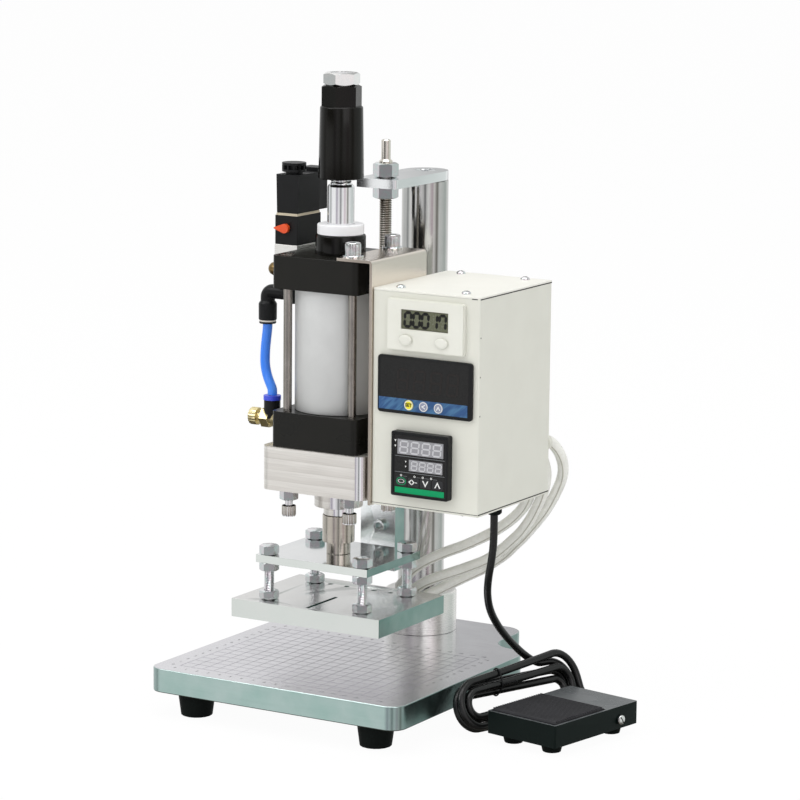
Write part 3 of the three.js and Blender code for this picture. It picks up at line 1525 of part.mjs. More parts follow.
// A tube joined ring by ring in one geometry
function hankTube() {
  const steps = Math.round(hankTurns * hankStepsPerTurn);
  const positions = [];
  const indices = [];
  const centres = [];
  centres.push(straightEnd(0, 1 / (steps * hankStepsPerTurn)));
  for (let i = 0; i <= steps; i += 1) centres.push(hankPoint(i / steps));
  centres.push(straightEnd(1, 1 - 1 / (steps * hankStepsPerTurn)));
  const last = centres.length - 1;
  for (let i = 0; i <= last; i += 1) {
    const before = centres[Math.max(i - 1, 0)];
    const after = centres[Math.min(i + 1, last)];
    const heading = after.clone().sub(before).normalize();
    const side = new THREE.Vector3(0, 0, 1).cross(heading).normalize();
    const up = heading.clone().cross(side);
    for (let k = 0; k < hankSides; k += 1) {
      const angle = (2 * Math.PI * (k + 0.5)) / hankSides;
      const point = centres[i].clone();
      point.addScaledVector(side, (cordDiameter / 2) * Math.cos(angle));
      point.addScaledVector(up, (cordDiameter / 2) * Math.sin(angle));
      positions.push(point.x, point.y, point.z);
    }
  }
  for (let i = 0; i < last; i += 1) {
    for (let k = 0; k < hankSides; k += 1) {
      const a = i * hankSides + k;
      const b = i * hankSides + ((k + 1) % hankSides);
      indices.push(a, b, b + hankSides, a, b + hankSides, a + hankSides);
    }
  }
  const lastRing = last * hankSides;
  for (let k = 1; k < hankSides - 1; k += 1) {
    indices.push(0, k + 1, k);
    indices.push(lastRing, lastRing + k, lastRing + k + 1);
  }
  const geometry = new THREE.BufferGeometry();
  geometry.setAttribute("position", new THREE.Float32BufferAttribute(positions, 3));
  geometry.setIndex(indices);
  geometry.computeVertexNormals();
  return geometry;
}

addCord("pedal_cord_hank", hankTube(), blackRubber);
addCord("pedal_cord_drop", tubeAlong(cordDropRoute, cordDiameter, cordSides, dropSteps), blackRubber);
addCord("pedal_cord_tail", tubeAlong(cordTailRoute, cordDiameter, cordSides, tailSteps), blackRubber);
addCord("air_hose", tubeAlong(hoseRoute, hoseDiameter, cordSides, hoseSteps), bluePlastic);
for (const [name, route] of sleeveRoutes) {
  addCord(name, tubeAlong(route, sleeveDiameter, cordSides, sleeveSteps), paleSleeve);
}

// The frame's origin is the middle of the footprint without the cords, on the bench.
machine.updateMatrixWorld(true);
const bounds = new THREE.Box3();
machine.traverse((object) => {
  if (object.isMesh && !cordMeshes.has(object)) bounds.expandByObject(object, true);
});
const middle = bounds.getCenter(new THREE.Vector3());
machine.position.set(-middle.x, -middle.y, -bounds.min.z);
console.log("frame offset: " + [middle.x, middle.y, bounds.min.z].map((v) => v.toFixed(4)).join(" "));

const press = new THREE.Group();
press.add(machine);
export default press;
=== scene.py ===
"""Bench hot foil stamping press with its foot switch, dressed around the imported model.

Pieces are written in millimetres in the maker's frame: x = y = 0 on the axis of the ram, z = 0 on
the bench, the operator at -Y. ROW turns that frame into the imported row's metres.
"""

import json
from math import cos, hypot, inf, pi, radians, sin, tan

import bmesh
import bpy
from mathutils import Matrix, Vector

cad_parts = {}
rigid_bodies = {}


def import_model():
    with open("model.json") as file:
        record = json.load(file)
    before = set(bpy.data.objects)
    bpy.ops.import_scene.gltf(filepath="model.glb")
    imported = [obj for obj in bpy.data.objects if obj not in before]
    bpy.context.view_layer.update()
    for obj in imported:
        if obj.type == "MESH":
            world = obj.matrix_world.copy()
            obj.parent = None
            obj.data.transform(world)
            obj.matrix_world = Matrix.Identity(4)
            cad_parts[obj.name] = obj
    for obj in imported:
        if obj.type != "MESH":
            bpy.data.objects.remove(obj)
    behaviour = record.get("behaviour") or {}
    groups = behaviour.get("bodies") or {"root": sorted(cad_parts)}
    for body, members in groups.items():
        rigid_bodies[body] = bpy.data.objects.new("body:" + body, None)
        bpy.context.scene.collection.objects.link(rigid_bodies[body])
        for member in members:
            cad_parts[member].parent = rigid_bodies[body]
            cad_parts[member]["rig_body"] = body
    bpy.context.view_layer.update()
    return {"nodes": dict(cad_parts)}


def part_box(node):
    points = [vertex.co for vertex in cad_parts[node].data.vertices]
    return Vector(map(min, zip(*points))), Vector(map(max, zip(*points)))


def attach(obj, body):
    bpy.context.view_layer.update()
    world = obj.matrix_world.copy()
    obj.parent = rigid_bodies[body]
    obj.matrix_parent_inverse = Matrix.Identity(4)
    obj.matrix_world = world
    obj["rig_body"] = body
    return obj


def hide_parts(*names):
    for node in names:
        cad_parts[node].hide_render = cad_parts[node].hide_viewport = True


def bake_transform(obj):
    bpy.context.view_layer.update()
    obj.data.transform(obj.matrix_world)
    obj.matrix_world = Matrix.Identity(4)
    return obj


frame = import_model()
nodes = frame["nodes"]

COLUMN_Y = 124.0
column_low, column_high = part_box("column")
column_axis = (column_low + column_high) / 2
ROW = Matrix.Translation((column_axis.x, column_axis.y - COLUMN_Y / 1000, 0.0)) @ Matrix.Scale(0.001, 4)
BACK = ROW.inverted()
TURN = 2 * pi


def at(x, y, z):
    """A point of the maker's frame in the row frame."""
    return ROW @ Vector((x, y, z))


def spans(node):
    """The low corner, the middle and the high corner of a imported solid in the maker's frame."""
    low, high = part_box(node)
    return BACK @ low, BACK @ ((low + high) / 2), BACK @ high


def add_object(name, data):
    """A new object in the scene."""
    made = bpy.data.objects.new(name, data)
    bpy.context.scene.collection.objects.link(made)
    return made


# ---- camera

LENS_MM = 157.228
SENSOR_MM = 36.0
CAMERA_PLACE = (1.29903, -2.23370, 0.70270)
CAMERA_YAW = radians(30.657)
CAMERA_PITCH = radians(10.183)
CAMERA_ROLL = radians(0.596)

camera_data = bpy.data.cameras.new("camera")
camera_data.lens = LENS_MM
camera_data.sensor_width = SENSOR_MM
camera = add_object("camera", camera_data)
camera.matrix_world = (
    Matrix.Translation(CAMERA_PLACE)
    @ Matrix.Rotation(CAMERA_YAW, 4, "Z")
    @ Matrix.Rotation(pi / 2 - CAMERA_PITCH, 4, "X")
    @ Matrix.Rotation(CAMERA_ROLL, 4, "Z")
)
bpy.context.scene.camera = camera


# ---- colours and finishes


def linear(colour):
    """A hex colour as written on a swatch, turned to the light values that a shader takes."""
    shares = [int(colour[i : i + 2], 16) / 255 for i in (1, 3, 5)]
    return [c / 12.92 if c <= 0.04045 else ((c + 0.055) / 1.055) ** 2.4 for c in shares] + [1.0]


def add_node(tree, kind, inputs=None, **settings):
    """Adds a node with its settings, values and links. A value may be a hex colour."""
    node = tree.nodes.new("ShaderNode" + kind)
    for key, value in settings.items():
        setattr(node, key, value)
    for key, value in (inputs or {}).items():
        if isinstance(value, bpy.types.NodeSocket):
            tree.links.new(value, node.inputs[key])
        else:
            node.inputs[key].default_value = linear(value) if isinstance(value, str) else value
    return node


def new_finish(name):
    """A new material and its empty node tree."""
    made = bpy.data.materials.new(name)
    made.use_nodes = True
    made.node_tree.nodes.clear()
    return made, made.node_tree


def noise(tree, size_mm, detail, stretch=(1, 1, 1), turn=(0, 0, 0)):
    """A grain whose cells are size_mm across, stretched along the axes, which turn gives another slant."""
    place = add_node(tree, "TexCoord").outputs["Object"]
    scale = [size_mm * s / 1000 for s in stretch]
    inputs = {"Vector": place, "Scale": scale, "Rotation": turn}
    mapped = add_node(tree, "Mapping", inputs, vector_type="TEXTURE").outputs["Vector"]
    return add_node(tree, "TexNoise", {"Vector": mapped, "Scale": 1.0, "Detail": detail}).outputs["Fac"]


def mixed(tree, share, low, high):
    """A colour between low and high by share."""
    return add_node(tree, "Mix", {0: share, 6: low, 7: high}, data_type="RGBA").outputs[2]


def worked(tree, operation, *values):
    """The result of a sum on some values."""
    return add_node(tree, "Math", dict(enumerate(values)), operation=operation).outputs[0]


def ranged(tree, value, low, high, start=0.3, end=0.7):
    """A grain's value spread between low and high."""
    inputs = {"Value": value, "From Min": start, "From Max": end, "To Min": low, "To Max": high}
    return add_node(tree, "MapRange", inputs).outputs["Result"]


def either(tree, share, first, second):
    """One surface or, by share, another."""
    return add_node(tree, "MixShader", {0: share, 1: first, 2: second}).outputs[0]


def facing(tree, axis):
    """How far the surface looks along an axis, from 0 to 1."""
    normal = add_node(tree, "NewGeometry").outputs["Normal"]
    parts = add_node(tree, "SeparateXYZ", {"Vector": normal})
    return worked(tree, "ABSOLUTE", parts.outputs[axis])


def close(tree, colour, roughness, height, depth_mm, bump, metallic=0.0, specular=0.5):
    """Ends a finish: its principled surface with the bump that its grain gives."""
    raised = {"Height": height, "Distance": depth_mm / 1000, "Strength": bump}
    normal = add_node(tree, "Bump", raised).outputs["Normal"]
    inputs = {"Base Color": colour, "Roughness": roughness, "Normal": normal}
    inputs.update({"Metallic": metallic, "Specular IOR Level": specular})
    shader = add_node(tree, "BsdfPrincipled", inputs)
    add_node(tree, "OutputMaterial", {"Surface": shader.outputs["BSDF"]})


# Grains that the finishes share, in mm: patches of the stock, scuffs, handled patches and mottled ink
STOCK_MM = 22.0
SCUFF_MM = 0.7
HANDLED_MM = 26.0
MOTTLE_MM = 0.9


def lined_metal(name, pale, dark, roughness, line_mm, stretch, spread, depth_mm, sides=None):
    """Metal brushed, milled or drawn in lines: line_mm apart and stretched along the axes.

    The roughness varies by spread, and the lines are depth_mm deep. sides gives the edges painted reflection
    tints: those that face along Y, and those that face along X.
    """
    made, tree = new_finish(name)
    lines = noise(tree, line_mm, 4.0, stretch)
    patches = noise(tree, STOCK_MM, 2.0)
    tone = worked(tree, "MULTIPLY", lines, patches)
    colour = mixed(tree, ranged(tree, tone, 0.0, 1.0, 0.12, 0.4), dark, pale)
    # painted reflection: faces that look along Y and along X take tints standing in for what they mirror
    if sides:
        painted_reflection = mixed(tree, facing(tree, "Y"), colour, sides[0])
        painted_reflection = mixed(tree, facing(tree, "X"), painted_reflection, sides[1])
        colour = mixed(tree, ranged(tree, patches, 0.0, 0.2), painted_reflection, colour)
    rough = ranged(tree, lines, roughness - spread, roughness + spread)
    close(tree, colour, rough, lines, depth_mm, 0.35, metallic=1.0)
    return made


def plated_metal(name, base, cool, warm, roughness, patch_mm):
    """Bright plating: its passivation film shifts between a cool and a warm tint in soft patches."""
    made, tree = new_finish(name)
    patches = noise(tree, patch_mm, 1.0)
    scuffs = noise(tree, SCUFF_MM, 4.0)
    tint = mixed(tree, ranged(tree, patches, 0.0, 1.0, 0.4, 0.6), cool, warm)
    colour = mixed(tree, ranged(tree, scuffs, 0.25, 0.75), base, tint)
    close(tree, colour, ranged(tree, scuffs, roughness * 0.7, roughness * 1.4), scuffs, 0.01, 0.2, metallic=1.0)
    return made


def moulded(name, colour, worn, roughness, grain_mm, depth_mm, bump, **sheen):
    """A moulded, sprayed or cast skin: fine grain, and soft patches where it has been handled."""
    made, tree = new_finish(name)
    grain = noise(tree, grain_mm, 3.0)
    patches = noise(tree, HANDLED_MM, 3.0)
    tone = mixed(tree, ranged(tree, patches, 0.0, 1.0), colour, worn)
    rough = ranged(tree, patches, roughness - 0.05, roughness + 0.05)
    close(tree, tone, rough, grain, depth_mm, bump, **sheen)
    return made


def printed(name, colour, roughness, **sheen):
    """Screen printing ink or a window, thin and even, with a slightly mottled gloss."""
    made, tree = new_finish(name)
    mottle = noise(tree, MOTTLE_MM, 2.0)
    tone = mixed(tree, ranged(tree, mottle, 0.0, 0.04), colour, "#808080")
    close(tree, tone, ranged(tree, mottle, roughness - 0.04, roughness + 0.04), mottle, 0.004, 0.1, **sheen)
    return made


PASS_MM = 8.2
WAVER_MM = 30.0
WAVER_DEPTH = 0.0012


def milled_blocks():
    """Milled aluminium: the cutter's passes leave level bands PASS_MM high, each with its own sheen."""
    made, tree = new_finish("milled_aluminium")
    place = add_node(tree, "TexCoord").outputs["Object"]
    height = add_node(tree, "SeparateXYZ", {"Vector": place}).outputs["Z"]
    bent = worked(tree, "MULTIPLY_ADD", noise(tree, WAVER_MM, 2.0), WAVER_DEPTH, height)
    saw = worked(tree, "FRACT", worked(tree, "MULTIPLY", bent, 1000 / PASS_MM))
    lines = noise(tree, 0.5, 4.0, (60, 60, 1))
    band = mixed(tree, ranged(tree, saw, 0.0, 1.0, 0.0, 1.0), "#e6e2dc", "#f8f5f0")
    colour = mixed(tree, ranged(tree, lines, 0.0, 0.3), band, "#c9c5be")
    close(tree, colour, ranged(tree, lines, 0.3, 0.44), lines, 0.008, 0.35, metallic=0.85)
    return made


def silicone_sleeve():
    """Heat-proof silicone tube: a smooth milky skin, greyer where it is thin or dusty."""
    made, tree = new_finish("silicone_tube")
    dust = noise(tree, 14.0, 3.0)
    skin = noise(tree, 1.6, 2.0)
    base = mixed(tree, ranged(tree, dust, 0.0, 1.0), "#f3f3ee", "#e6e6df")
    colour = mixed(tree, ranged(tree, skin, 0.0, 0.3), base, "#dddcd3")
    close(tree, colour, ranged(tree, dust, 0.22, 0.34), skin, 0.02, 0.1)
    return made


def blue_band():
    """The meter's printed strip: mid blue under slanting brush strokes of darker ink."""
    made, tree = new_finish("printed_blue_band")
    slant = (0, radians(-40), 0)
    waves = noise(tree, 2.4, 1.0, (5, 1, 1), slant)
    fine = noise(tree, 0.5, 2.0, (14, 1, 1), slant)
    base = mixed(tree, ranged(tree, waves, 0.0, 1.0, 0.4, 0.6), "#1d4c80", "#3f7099")
    colour = mixed(tree, ranged(tree, fine, 0.0, 0.3), base, "#163c66")
    close(tree, colour, ranged(tree, fine, 0.3, 0.4), fine, 0.004, 0.1)
    return made


# Black parts mirror little: their specular level sits below that of a plain clear skin
DEEP = 0.2

# Finishes of the record's slots, each named for what the real surface is
FINISHES = {
    # sawn and belt-ground aluminium plate: long soft scratches and a satin glow
    "brushed_aluminium": lined_metal("ground_aluminium", "#eeedea", "#e2e1dd", 0.28, 0.6, (40, 40, 1), 0.03, 0.001),
    # tooling plate polished by hand: nearly a mirror on the flats; its sides carry a painted reflection, cool
    # green-grey
    "bright_aluminium": lined_metal(
        "polished_plate", "#f0f1f1", "#e6e8e9", 0.1, 0.8, (1, 50, 1), 0.03, 0.001, ("#d6dbd7", "#7d9c96")
    ),
    # ground and chromed bar: the cleanest mirror on the machine
    "hard_chrome": lined_metal("hard_chrome", "#eeeeef", "#e2e3e5", 0.12, 0.4, (1, 1, 30), 0.02, 0.001),
    # clear zinc: a bright skin with a faint film of colour
    "zinc_plated_steel": plated_metal("clear_zinc", "#eceeee", "#cfdedd", "#dfd3db", 0.11, 3.5),
    # turned steel with an oiled, slightly warm surface
    "bare_steel": lined_metal("turned_steel", "#c9c3b9", "#b5aea4", 0.2, 0.5, (30, 30, 1), 0.03, 0.001),
    # hard anodised aluminium: a matt black with a faint brown cast
    "black_anodised": moulded("black_anodising", "#161613", "#1c1b18", 0.3, 0.25, 0.01, 0.2, specular=DEEP),
    # drawn aluminium tube, bead blasted and clear anodised: even, pale and dull
    "barrel_aluminium": moulded("blasted_tube", "#d8d9d8", "#cfd0cf", 0.5, 0.3, 0.01, 0.2, metallic=0.25),
    # glass filled nylon and ABS: fine spark-eroded grain
    "black_plastic": moulded("black_abs", "#161718", "#1d1e1f", 0.4, 0.35, 0.03, 0.3, specular=DEEP),
    # nitrile rubber: dull, slightly bloomed
    "black_rubber": moulded("nitrile_rubber", "#0a100e", "#101614", 0.62, 0.6, 0.05, 0.35, specular=0.12),
    # PVC jacket: semi-gloss with shallow drawing marks
    "cord_jacket": moulded("pvc_jacket", "#0e0f0f", "#161717", 0.28, 0.8, 0.02, 0.2, specular=0.4),
    # stoved enamel on cast metal: satin with a fine orange peel
    "black_paint": moulded("black_enamel", "#081311", "#0d1715", 0.34, 0.7, 0.02, 0.25, specular=0.1),
    # powder coat on folded steel: warm white with a fine orange peel
    "white_paint": moulded("powder_coat", "#dbdbd1", "#d8d8ce", 0.42, 1.1, 0.015, 0.2),
    # moulded ABS, ivory
    "ivory_plastic": moulded("ivory_abs", "#e1e1d8", "#ddddd3", 0.34, 0.4, 0.01, 0.15),
    # turned nylon, slightly waxy
    "white_nylon": moulded("turned_nylon", "#f8f8f9", "#f1f1f3", 0.4, 0.5, 0.02, 0.2),
    # turned and tumbled brass
    "brass": lined_metal("turned_brass", "#f2e7bb", "#dfcf99", 0.32, 1.4, (6, 6, 6), 0.04, 0.002),
    # dyed nylon of the lever
    "orange_plastic": moulded("orange_nylon", "#ee5a26", "#e24f1d", 0.36, 0.4, 0.02, 0.2),
    # drawn polyurethane tube: glossy and a little translucent
    "blue_tube": moulded("polyurethane_tube", "#4a92fb", "#357aec", 0.2, 1.2, 0.01, 0.15),
    # dyed silicone of the meter's keys
    "yellow_plastic": moulded("yellow_key", "#efe02a", "#e4d522", 0.35, 0.4, 0.01, 0.15),
    "grey_plastic": moulded("grey_key", "#8f93a8", "#858a9e", 0.35, 0.4, 0.01, 0.15),
    # heat-proof silicone tube over the heaters' leads
    "pale_sleeving": silicone_sleeve(),
}
# ground table: satin on top; its edges carry a painted reflection, cooler and darker than the plates above
TABLE_PLATE = lined_metal(
    "ground_table", "#e9e8ec", "#e1e0e4", 0.25, 0.9, (50, 1, 1), 0.02, 0.0005, ("#a6c2bc", "#7b9792")
)
# the same enamel, painted lighter as a painted sheen on the pedal's top, and the soft ribbed rubber of the tread
PAINTED_SHEEN_ENAMEL = moulded("painted_sheen_enamel", "#565a5c", "#646769", 0.28, 0.7, 0.01, 0.15)
TREAD_RUBBER = moulded("tread_rubber", "#303033", "#39393c", 0.6, 0.5, 0.03, 0.3, specular=0.3)
# anodised black that was polished first: soft upright streaks of light
POLISHED_BLACK = moulded("polished_anodising", "#0e0d0b", "#13120f", 0.16, 0.3, 0.002, 0.1, specular=0.2)
# fly-cut aluminium: a soft mirror, cool; its side greener by a painted reflection
FLY_CUT = lined_metal(
    "fly_cut_aluminium", "#f6f9fa", "#eef2f4", 0.22, 0.6, (40, 1, 1), 0.03, 0.0003, ("#f6f9fa", "#86a59f")
)
# belt-ground platen: satin, so that the nuts on it are only soft shades; its sides carry a painted reflection,
# green-grey on those that face along X
PLATEN_FACE = lined_metal(
    "ground_platen", "#ebebea", "#e6e5e3", 0.24, 0.8, (1, 50, 1), 0.03, 0.0005, ("#dbe0dc", "#86a69f")
)
# the lid's coat, painted paler than the box's as painted light on the top
LID_PAINTED_LIGHT = moulded("powder_coat_painted_light", "#e8e7df", "#e5e4dc", 0.42, 1.1, 0.015, 0.2)
# chromed column: a shade greyer than the ram, painted shade for the darker things it mirrors
COLUMN_PAINTED_SHADE = lined_metal("chrome_painted_shade", "#c9c9c7", "#bdbdbb", 0.12, 0.4, (1, 1, 30), 0.02, 0.001)
# the top plate: ground smoother and painted brighter than the rest, as painted light
TOP_PLATE_PAINTED_LIGHT = lined_metal("ground_top_plate_painted_light", "#f3f4f5", "#eceeef", 0.2, 0.6, (40, 40, 1), 0.03, 0.0005)
# steel of the lift thread; its roots painted dark as painted shade
THREAD_CREST = lined_metal("thread_crest", "#ece7df", "#dad4ca", 0.22, 0.5, (30, 30, 1), 0.03, 0.001)
THREAD_ROOT_SHADE = lined_metal("thread_root_painted_shade", "#8f897e", "#77716a", 0.4, 0.5, (30, 30, 1), 0.05, 0.001)
# drawn bar of the tie rods: darker than the turned parts, streaked along its length
DRAWN_ROD = lined_metal("drawn_rod", "#aaa59f", "#8b8680", 0.24, 0.4, (1, 1, 30), 0.04, 0.002)
# cold rolled stainless sheet: a warm, nearly even sheen; its front edge is darker by painted shade
SHEET = lined_metal(
    "stainless_sheet", "#e6ddd3", "#e1d8ce", 0.25, 0.5, (1, 60, 1), 0.015, 0.0003, ("#a0978e", "#e4dbd1")
)
# nickel plate: the brightest and most even skin
NICKEL = plated_metal("bright_nickel", "#f1f1ef", "#e6e9e9", "#efecea", 0.14, 4.0)
# old brass, darkened and dull
AGED_BRASS = lined_metal("aged_brass", "#a58d62", "#846e49", 0.34, 0.8, (5, 5, 5), 0.05, 0.004)
MILLED = milled_blocks()
BLUE_BAND = blue_band()
# thin coats: inks, engraving, windows, and what is too small to show a grain
# painted shadow: the dark strips drawn at seams, recesses and slots
SHADOW_LINE = printed("painted_shadow_line", "#33332f", 0.7, specular=DEEP)
GRAVED = printed("graved_line", "#8e8b95", 0.6)
GRAVED_DIGIT = printed("graved_digit", "#6c6d70", 0.6)
LCD_BACK = printed("lcd_glass", "#5b5e48", 0.25)
LCD_FRAME = printed("lcd_frame", "#55563f", 0.35)
INK_BLACK = printed("black_ink", "#131410", 0.4, specular=DEEP)
SMOKED = printed("smoked_window", "#171717", 0.1, specular=DEEP)
GHOST_DARK = printed("unlit_segment_dark", "#1f1b1a", 0.3, specular=DEEP)
WINDOW_GREY = printed("display_window", "#8f8f93", 0.3)
GHOST_PALE = printed("unlit_segment_pale", "#c4c4c8", 0.35)
INK_WHITE = printed("white_ink", "#e4e5e3", 0.5)
INK_GREY = printed("grey_ink", "#6a6d70", 0.5)
INK_GREEN = printed("green_ink", "#0a965e", 0.4, specular=0.1)
KEY_CAP = printed("membrane_key", "#2a2b2d", 0.4, specular=DEEP)
GASKET = printed("gasket_card", "#c6bba4", 0.6)
LEAD_SKIN = printed("lead_insulation", "#b9ad85", 0.45)
LEAD_SHADOW = printed("leads_through_silicone", "#b9b7ab", 0.35)
BLUE_COLLAR = printed("release_collar", "#3b4fdc", 0.3)
PALE_COLLAR = printed("nickel_collar", "#dcd8cf", 0.3)


# ---- shapes


def lofted(rings, cap=True):
    """Joins rings of the same count of points, with flat ends."""
    made = bmesh.new()
    rows = [[made.verts.new(p) for p in ring] for ring in rings]
    for low, high in zip(rows, rows[1:]):
        for i in range(len(low)):
            j = (i + 1) % len(low)
            made.faces.new((low[i], low[j], high[j], high[i]))
    if cap:
        made.faces.new(list(reversed(rows[0])))
        made.faces.new(rows[-1])
    return made


def spun(profile, sides, hollow=False):
    """A turned piece from (radius, z) pairs. Either may follow the angle, as a hexagon's does.

    A hollow piece's profile closes on its first pair, and a solid one has flat ends.
    """
    rings = []
    for radius, z in profile + profile[:1] if hollow else profile:
        ring = []
        for i in range(sides):
            angle = TURN * i / sides
            r = radius(angle) if callable(radius) else radius
            h = z(angle) if callable(z) else z
            ring.append((r * cos(angle), r * sin(angle), h))
        rings.append(ring)
    return lofted(rings, not hollow)


def hexagon(flats, turn=0.0):
    """The radius of a hexagon with flats facing +-X, by angle."""
    sixth = pi / 6
    return lambda a: flats / 2 / cos((a - turn + sixth) % (2 * sixth) - sixth)


def fluted(radius, depth, count):
    """The radius of a knurled rim, by angle."""
    return lambda a: radius - depth * (0.5 - 0.5 * cos(count * a))


CHAMFER = tan(radians(30))
CHAMFER_SHARE = 0.965


def annulus(inner, outer, low, high, sides):
    """A plain turned ring."""
    return spun([(inner, low), (outer, low), (outer, high), (inner, high)], sides, hollow=True)


def hex_nut(flats, low, high, bore=0.05):
    """A hexagon nut with both rims chamfered. A head keeps the least bore, which no one sees."""
    rim = CHAMFER_SHARE * flats / 2
    shape = hexagon(flats)
    return spun(
        [
            (bore, low),
            (rim, low),
            (shape, lambda a: low + (shape(a) - rim) * CHAMFER),
            (shape, lambda a: high - (shape(a) - rim) * CHAMFER),
            (rim, high),
            (bore, high),
        ],
        48,
        hollow=True,
    )


def threaded(diameter, pitch, low, high, sides=24, steps=4, depth_share=0.61):
    """A rod with a real helical thread, depth_share of its pitch deep. steps rings make one turn of it."""
    outer = diameter / 2
    depth = depth_share * pitch
    count = int((high - low) / pitch * steps)
    rings = []
    for n in range(count + 1):
        z = low + (high - low) * n / count
        fade = min(1.0, n / steps, (count - n) / steps)
        ring = []
        for i in range(sides):
            share = (z / pitch - i / sides) % 1.0
            r = outer - depth * abs(2 * share - 1) * fade - 0.25 * depth * (1 - fade)
            ring.append((r * cos(TURN * i / sides), r * sin(TURN * i / sides), z))
        rings.append(ring)
    return lofted(rings)


def socket_head(diameter, height, socket, flutes=30):
    """A knurled cap screw head on z = 0 with its hexagon socket on top."""
    r = diameter / 2
    rim = fluted(r, 0.32, flutes)
    key = hexagon(socket)
    return spun(
        [
            (r * 0.5, 0.0),
            (r * 0.97, 0.0),
            (rim, 0.35),
            (rim, height - 1.2),
            (r * 0.94, height - 0.5),
            (r * 0.86, height),
            (lambda a: key(a) * 1.06, height),
            (key, height - 0.4),
            (key, height - 3.2),
            (0.2, height - 3.9),
        ],
        flutes * 6,
    )


def extruded(outline, depth):
    """A plate of depth along +Z from an outline of (x, y) points."""
    return lofted([[(x, y, 0.0) for x, y in outline], [(x, y, depth) for x, y in outline]])


CORNER_STEPS = 6


def rounded(width, depth, radius, x, y):
    """The outline of a rectangle with round corners, centred on (x, y)."""
    outline = []
    corners = ((1, -1, -0.25), (1, 1, 0.0), (-1, 1, 0.25), (-1, -1, 0.5))
    for sx, sy, start in corners:
        for i in range(CORNER_STEPS + 1):
            angle = TURN * (start + 0.25 * i / CORNER_STEPS)
            cx = x + sx * (width / 2 - radius)
            cy = y + sy * (depth / 2 - radius)
            outline.append((cx + radius * cos(angle), cy + radius * sin(angle)))
    return outline


def pane(width, height, radius, x, y, depth):
    """A thin plate with round corners, centred on (x, y)."""
    return extruded(rounded(width, height, radius, x, y), depth)


# How thick a printed mark is
FILM = 0.05


def flat(points, depth=FILM):
    """A thin plate from a corner list in either order."""
    area = sum(a[0] * b[1] - b[0] * a[1] for a, b in zip(points, points[1:] + points[:1]))
    return extruded(points if area > 0 else list(reversed(points)), depth)


def chevron(x, y, size, weight, turn=0.0):
    """A bent bar that points up, turned about its middle."""
    w = weight * size
    outline = [
        (-0.6 * size, -0.5 * size), (0, 0.6 * size), (0.6 * size, -0.5 * size),
        (0.6 * size - w, -0.5 * size), (0, 0.6 * size - 1.7 * w), (w - 0.6 * size, -0.5 * size),
    ]
    c, s = cos(turn), sin(turn)
    return flat([(x + px * c - py * s, y + px * s + py * c) for px, py in outline])


def strip(x0, y0, x1, y1, z, height):
    """A bar between two corners, height thick above z."""
    outline = [(x0, y0), (x1, y0), (x1, y1), (x0, y1)]
    return moved(extruded(outline, height), 0, 0, z)


def ring_mark(x, y, wide, high, weight):
    """A flat oval ring."""
    ring = annulus((wide - weight) / wide, 1.0, 0.0, FILM, 32)
    return moved(ring, x, y, 0, Matrix.Diagonal((wide, high, 1.0, 1.0)))


HOLE_STEPS = 16


def pierced(left, right, middle, half, holes, radius, depth):
    """A strip with round holes along its middle line, as an upper and a lower half."""
    halves = []
    for way in (1, -1):
        edge = middle + way * half
        outline = [(left, middle), (left, edge), (right, edge), (right, middle)]
        for hole in sorted(holes, reverse=True):
            for i in range(HOLE_STEPS + 1):
                angle = pi * i / HOLE_STEPS
                outline.append((hole + radius * cos(angle), middle + way * radius * sin(angle)))
        halves.append(flat(outline, depth))
    return joined(*halves)


def joined(*parts):
    """Several bmeshes in one."""
    whole = bmesh.new()
    for part in parts:
        mesh = bpy.data.meshes.new("part")
        part.to_mesh(mesh)
        part.free()
        whole.from_mesh(mesh)
        bpy.data.meshes.remove(mesh)
    return whole


def moved(part, x=0.0, y=0.0, z=0.0, turn=None):
    """The bmesh set down at a place, after the matrix turn."""
    bmesh.ops.transform(part, matrix=Matrix.Translation((x, y, z)) @ (turn or Matrix()), verts=part.verts)
    return part


SEGMENTS = {"0": "abcdef", "1": "bc", "7": "abcf", "8": "abcdefg"}
BARS = {
    "a": ((0, 0), (1, 0)), "b": ((1, 0), (1, 1)), "c": ((1, 1), (1, 2)), "d": ((0, 2), (1, 2)),
    "e": ((0, 1), (0, 2)), "f": ((0, 0), (0, 1)), "g": ((0, 1), (1, 1)),
}
SEGMENT_DEPTH = 0.08


def digits(text, left, top, width, height, pitch, slant, weight, gap=0.12):
    """Seven-segment digits in x and y: y falls from top. slant leans them over to the right."""
    parts = []
    for n, letter in enumerate(text):
        for key in SEGMENTS[letter]:
            (ax, ay), (bx, by) = BARS[key]
            start = Vector((ax * width, -ay * height / 2))
            end = Vector((bx * width, -by * height / 2))
            heading = (end - start).normalized()
            side = Vector((-heading.y, heading.x)) * weight / 2
            start += heading * gap
            end -= heading * gap
            inner = heading * weight / 2
            outline = [start, start + inner - side, end - inner - side, end, end - inner + side, start + inner + side]
            placed = [(left + n * pitch + p.x + slant * (p.y + height), top + p.y) for p in outline]
            parts.append(extruded(placed, SEGMENT_DEPTH))
    return joined(*parts)


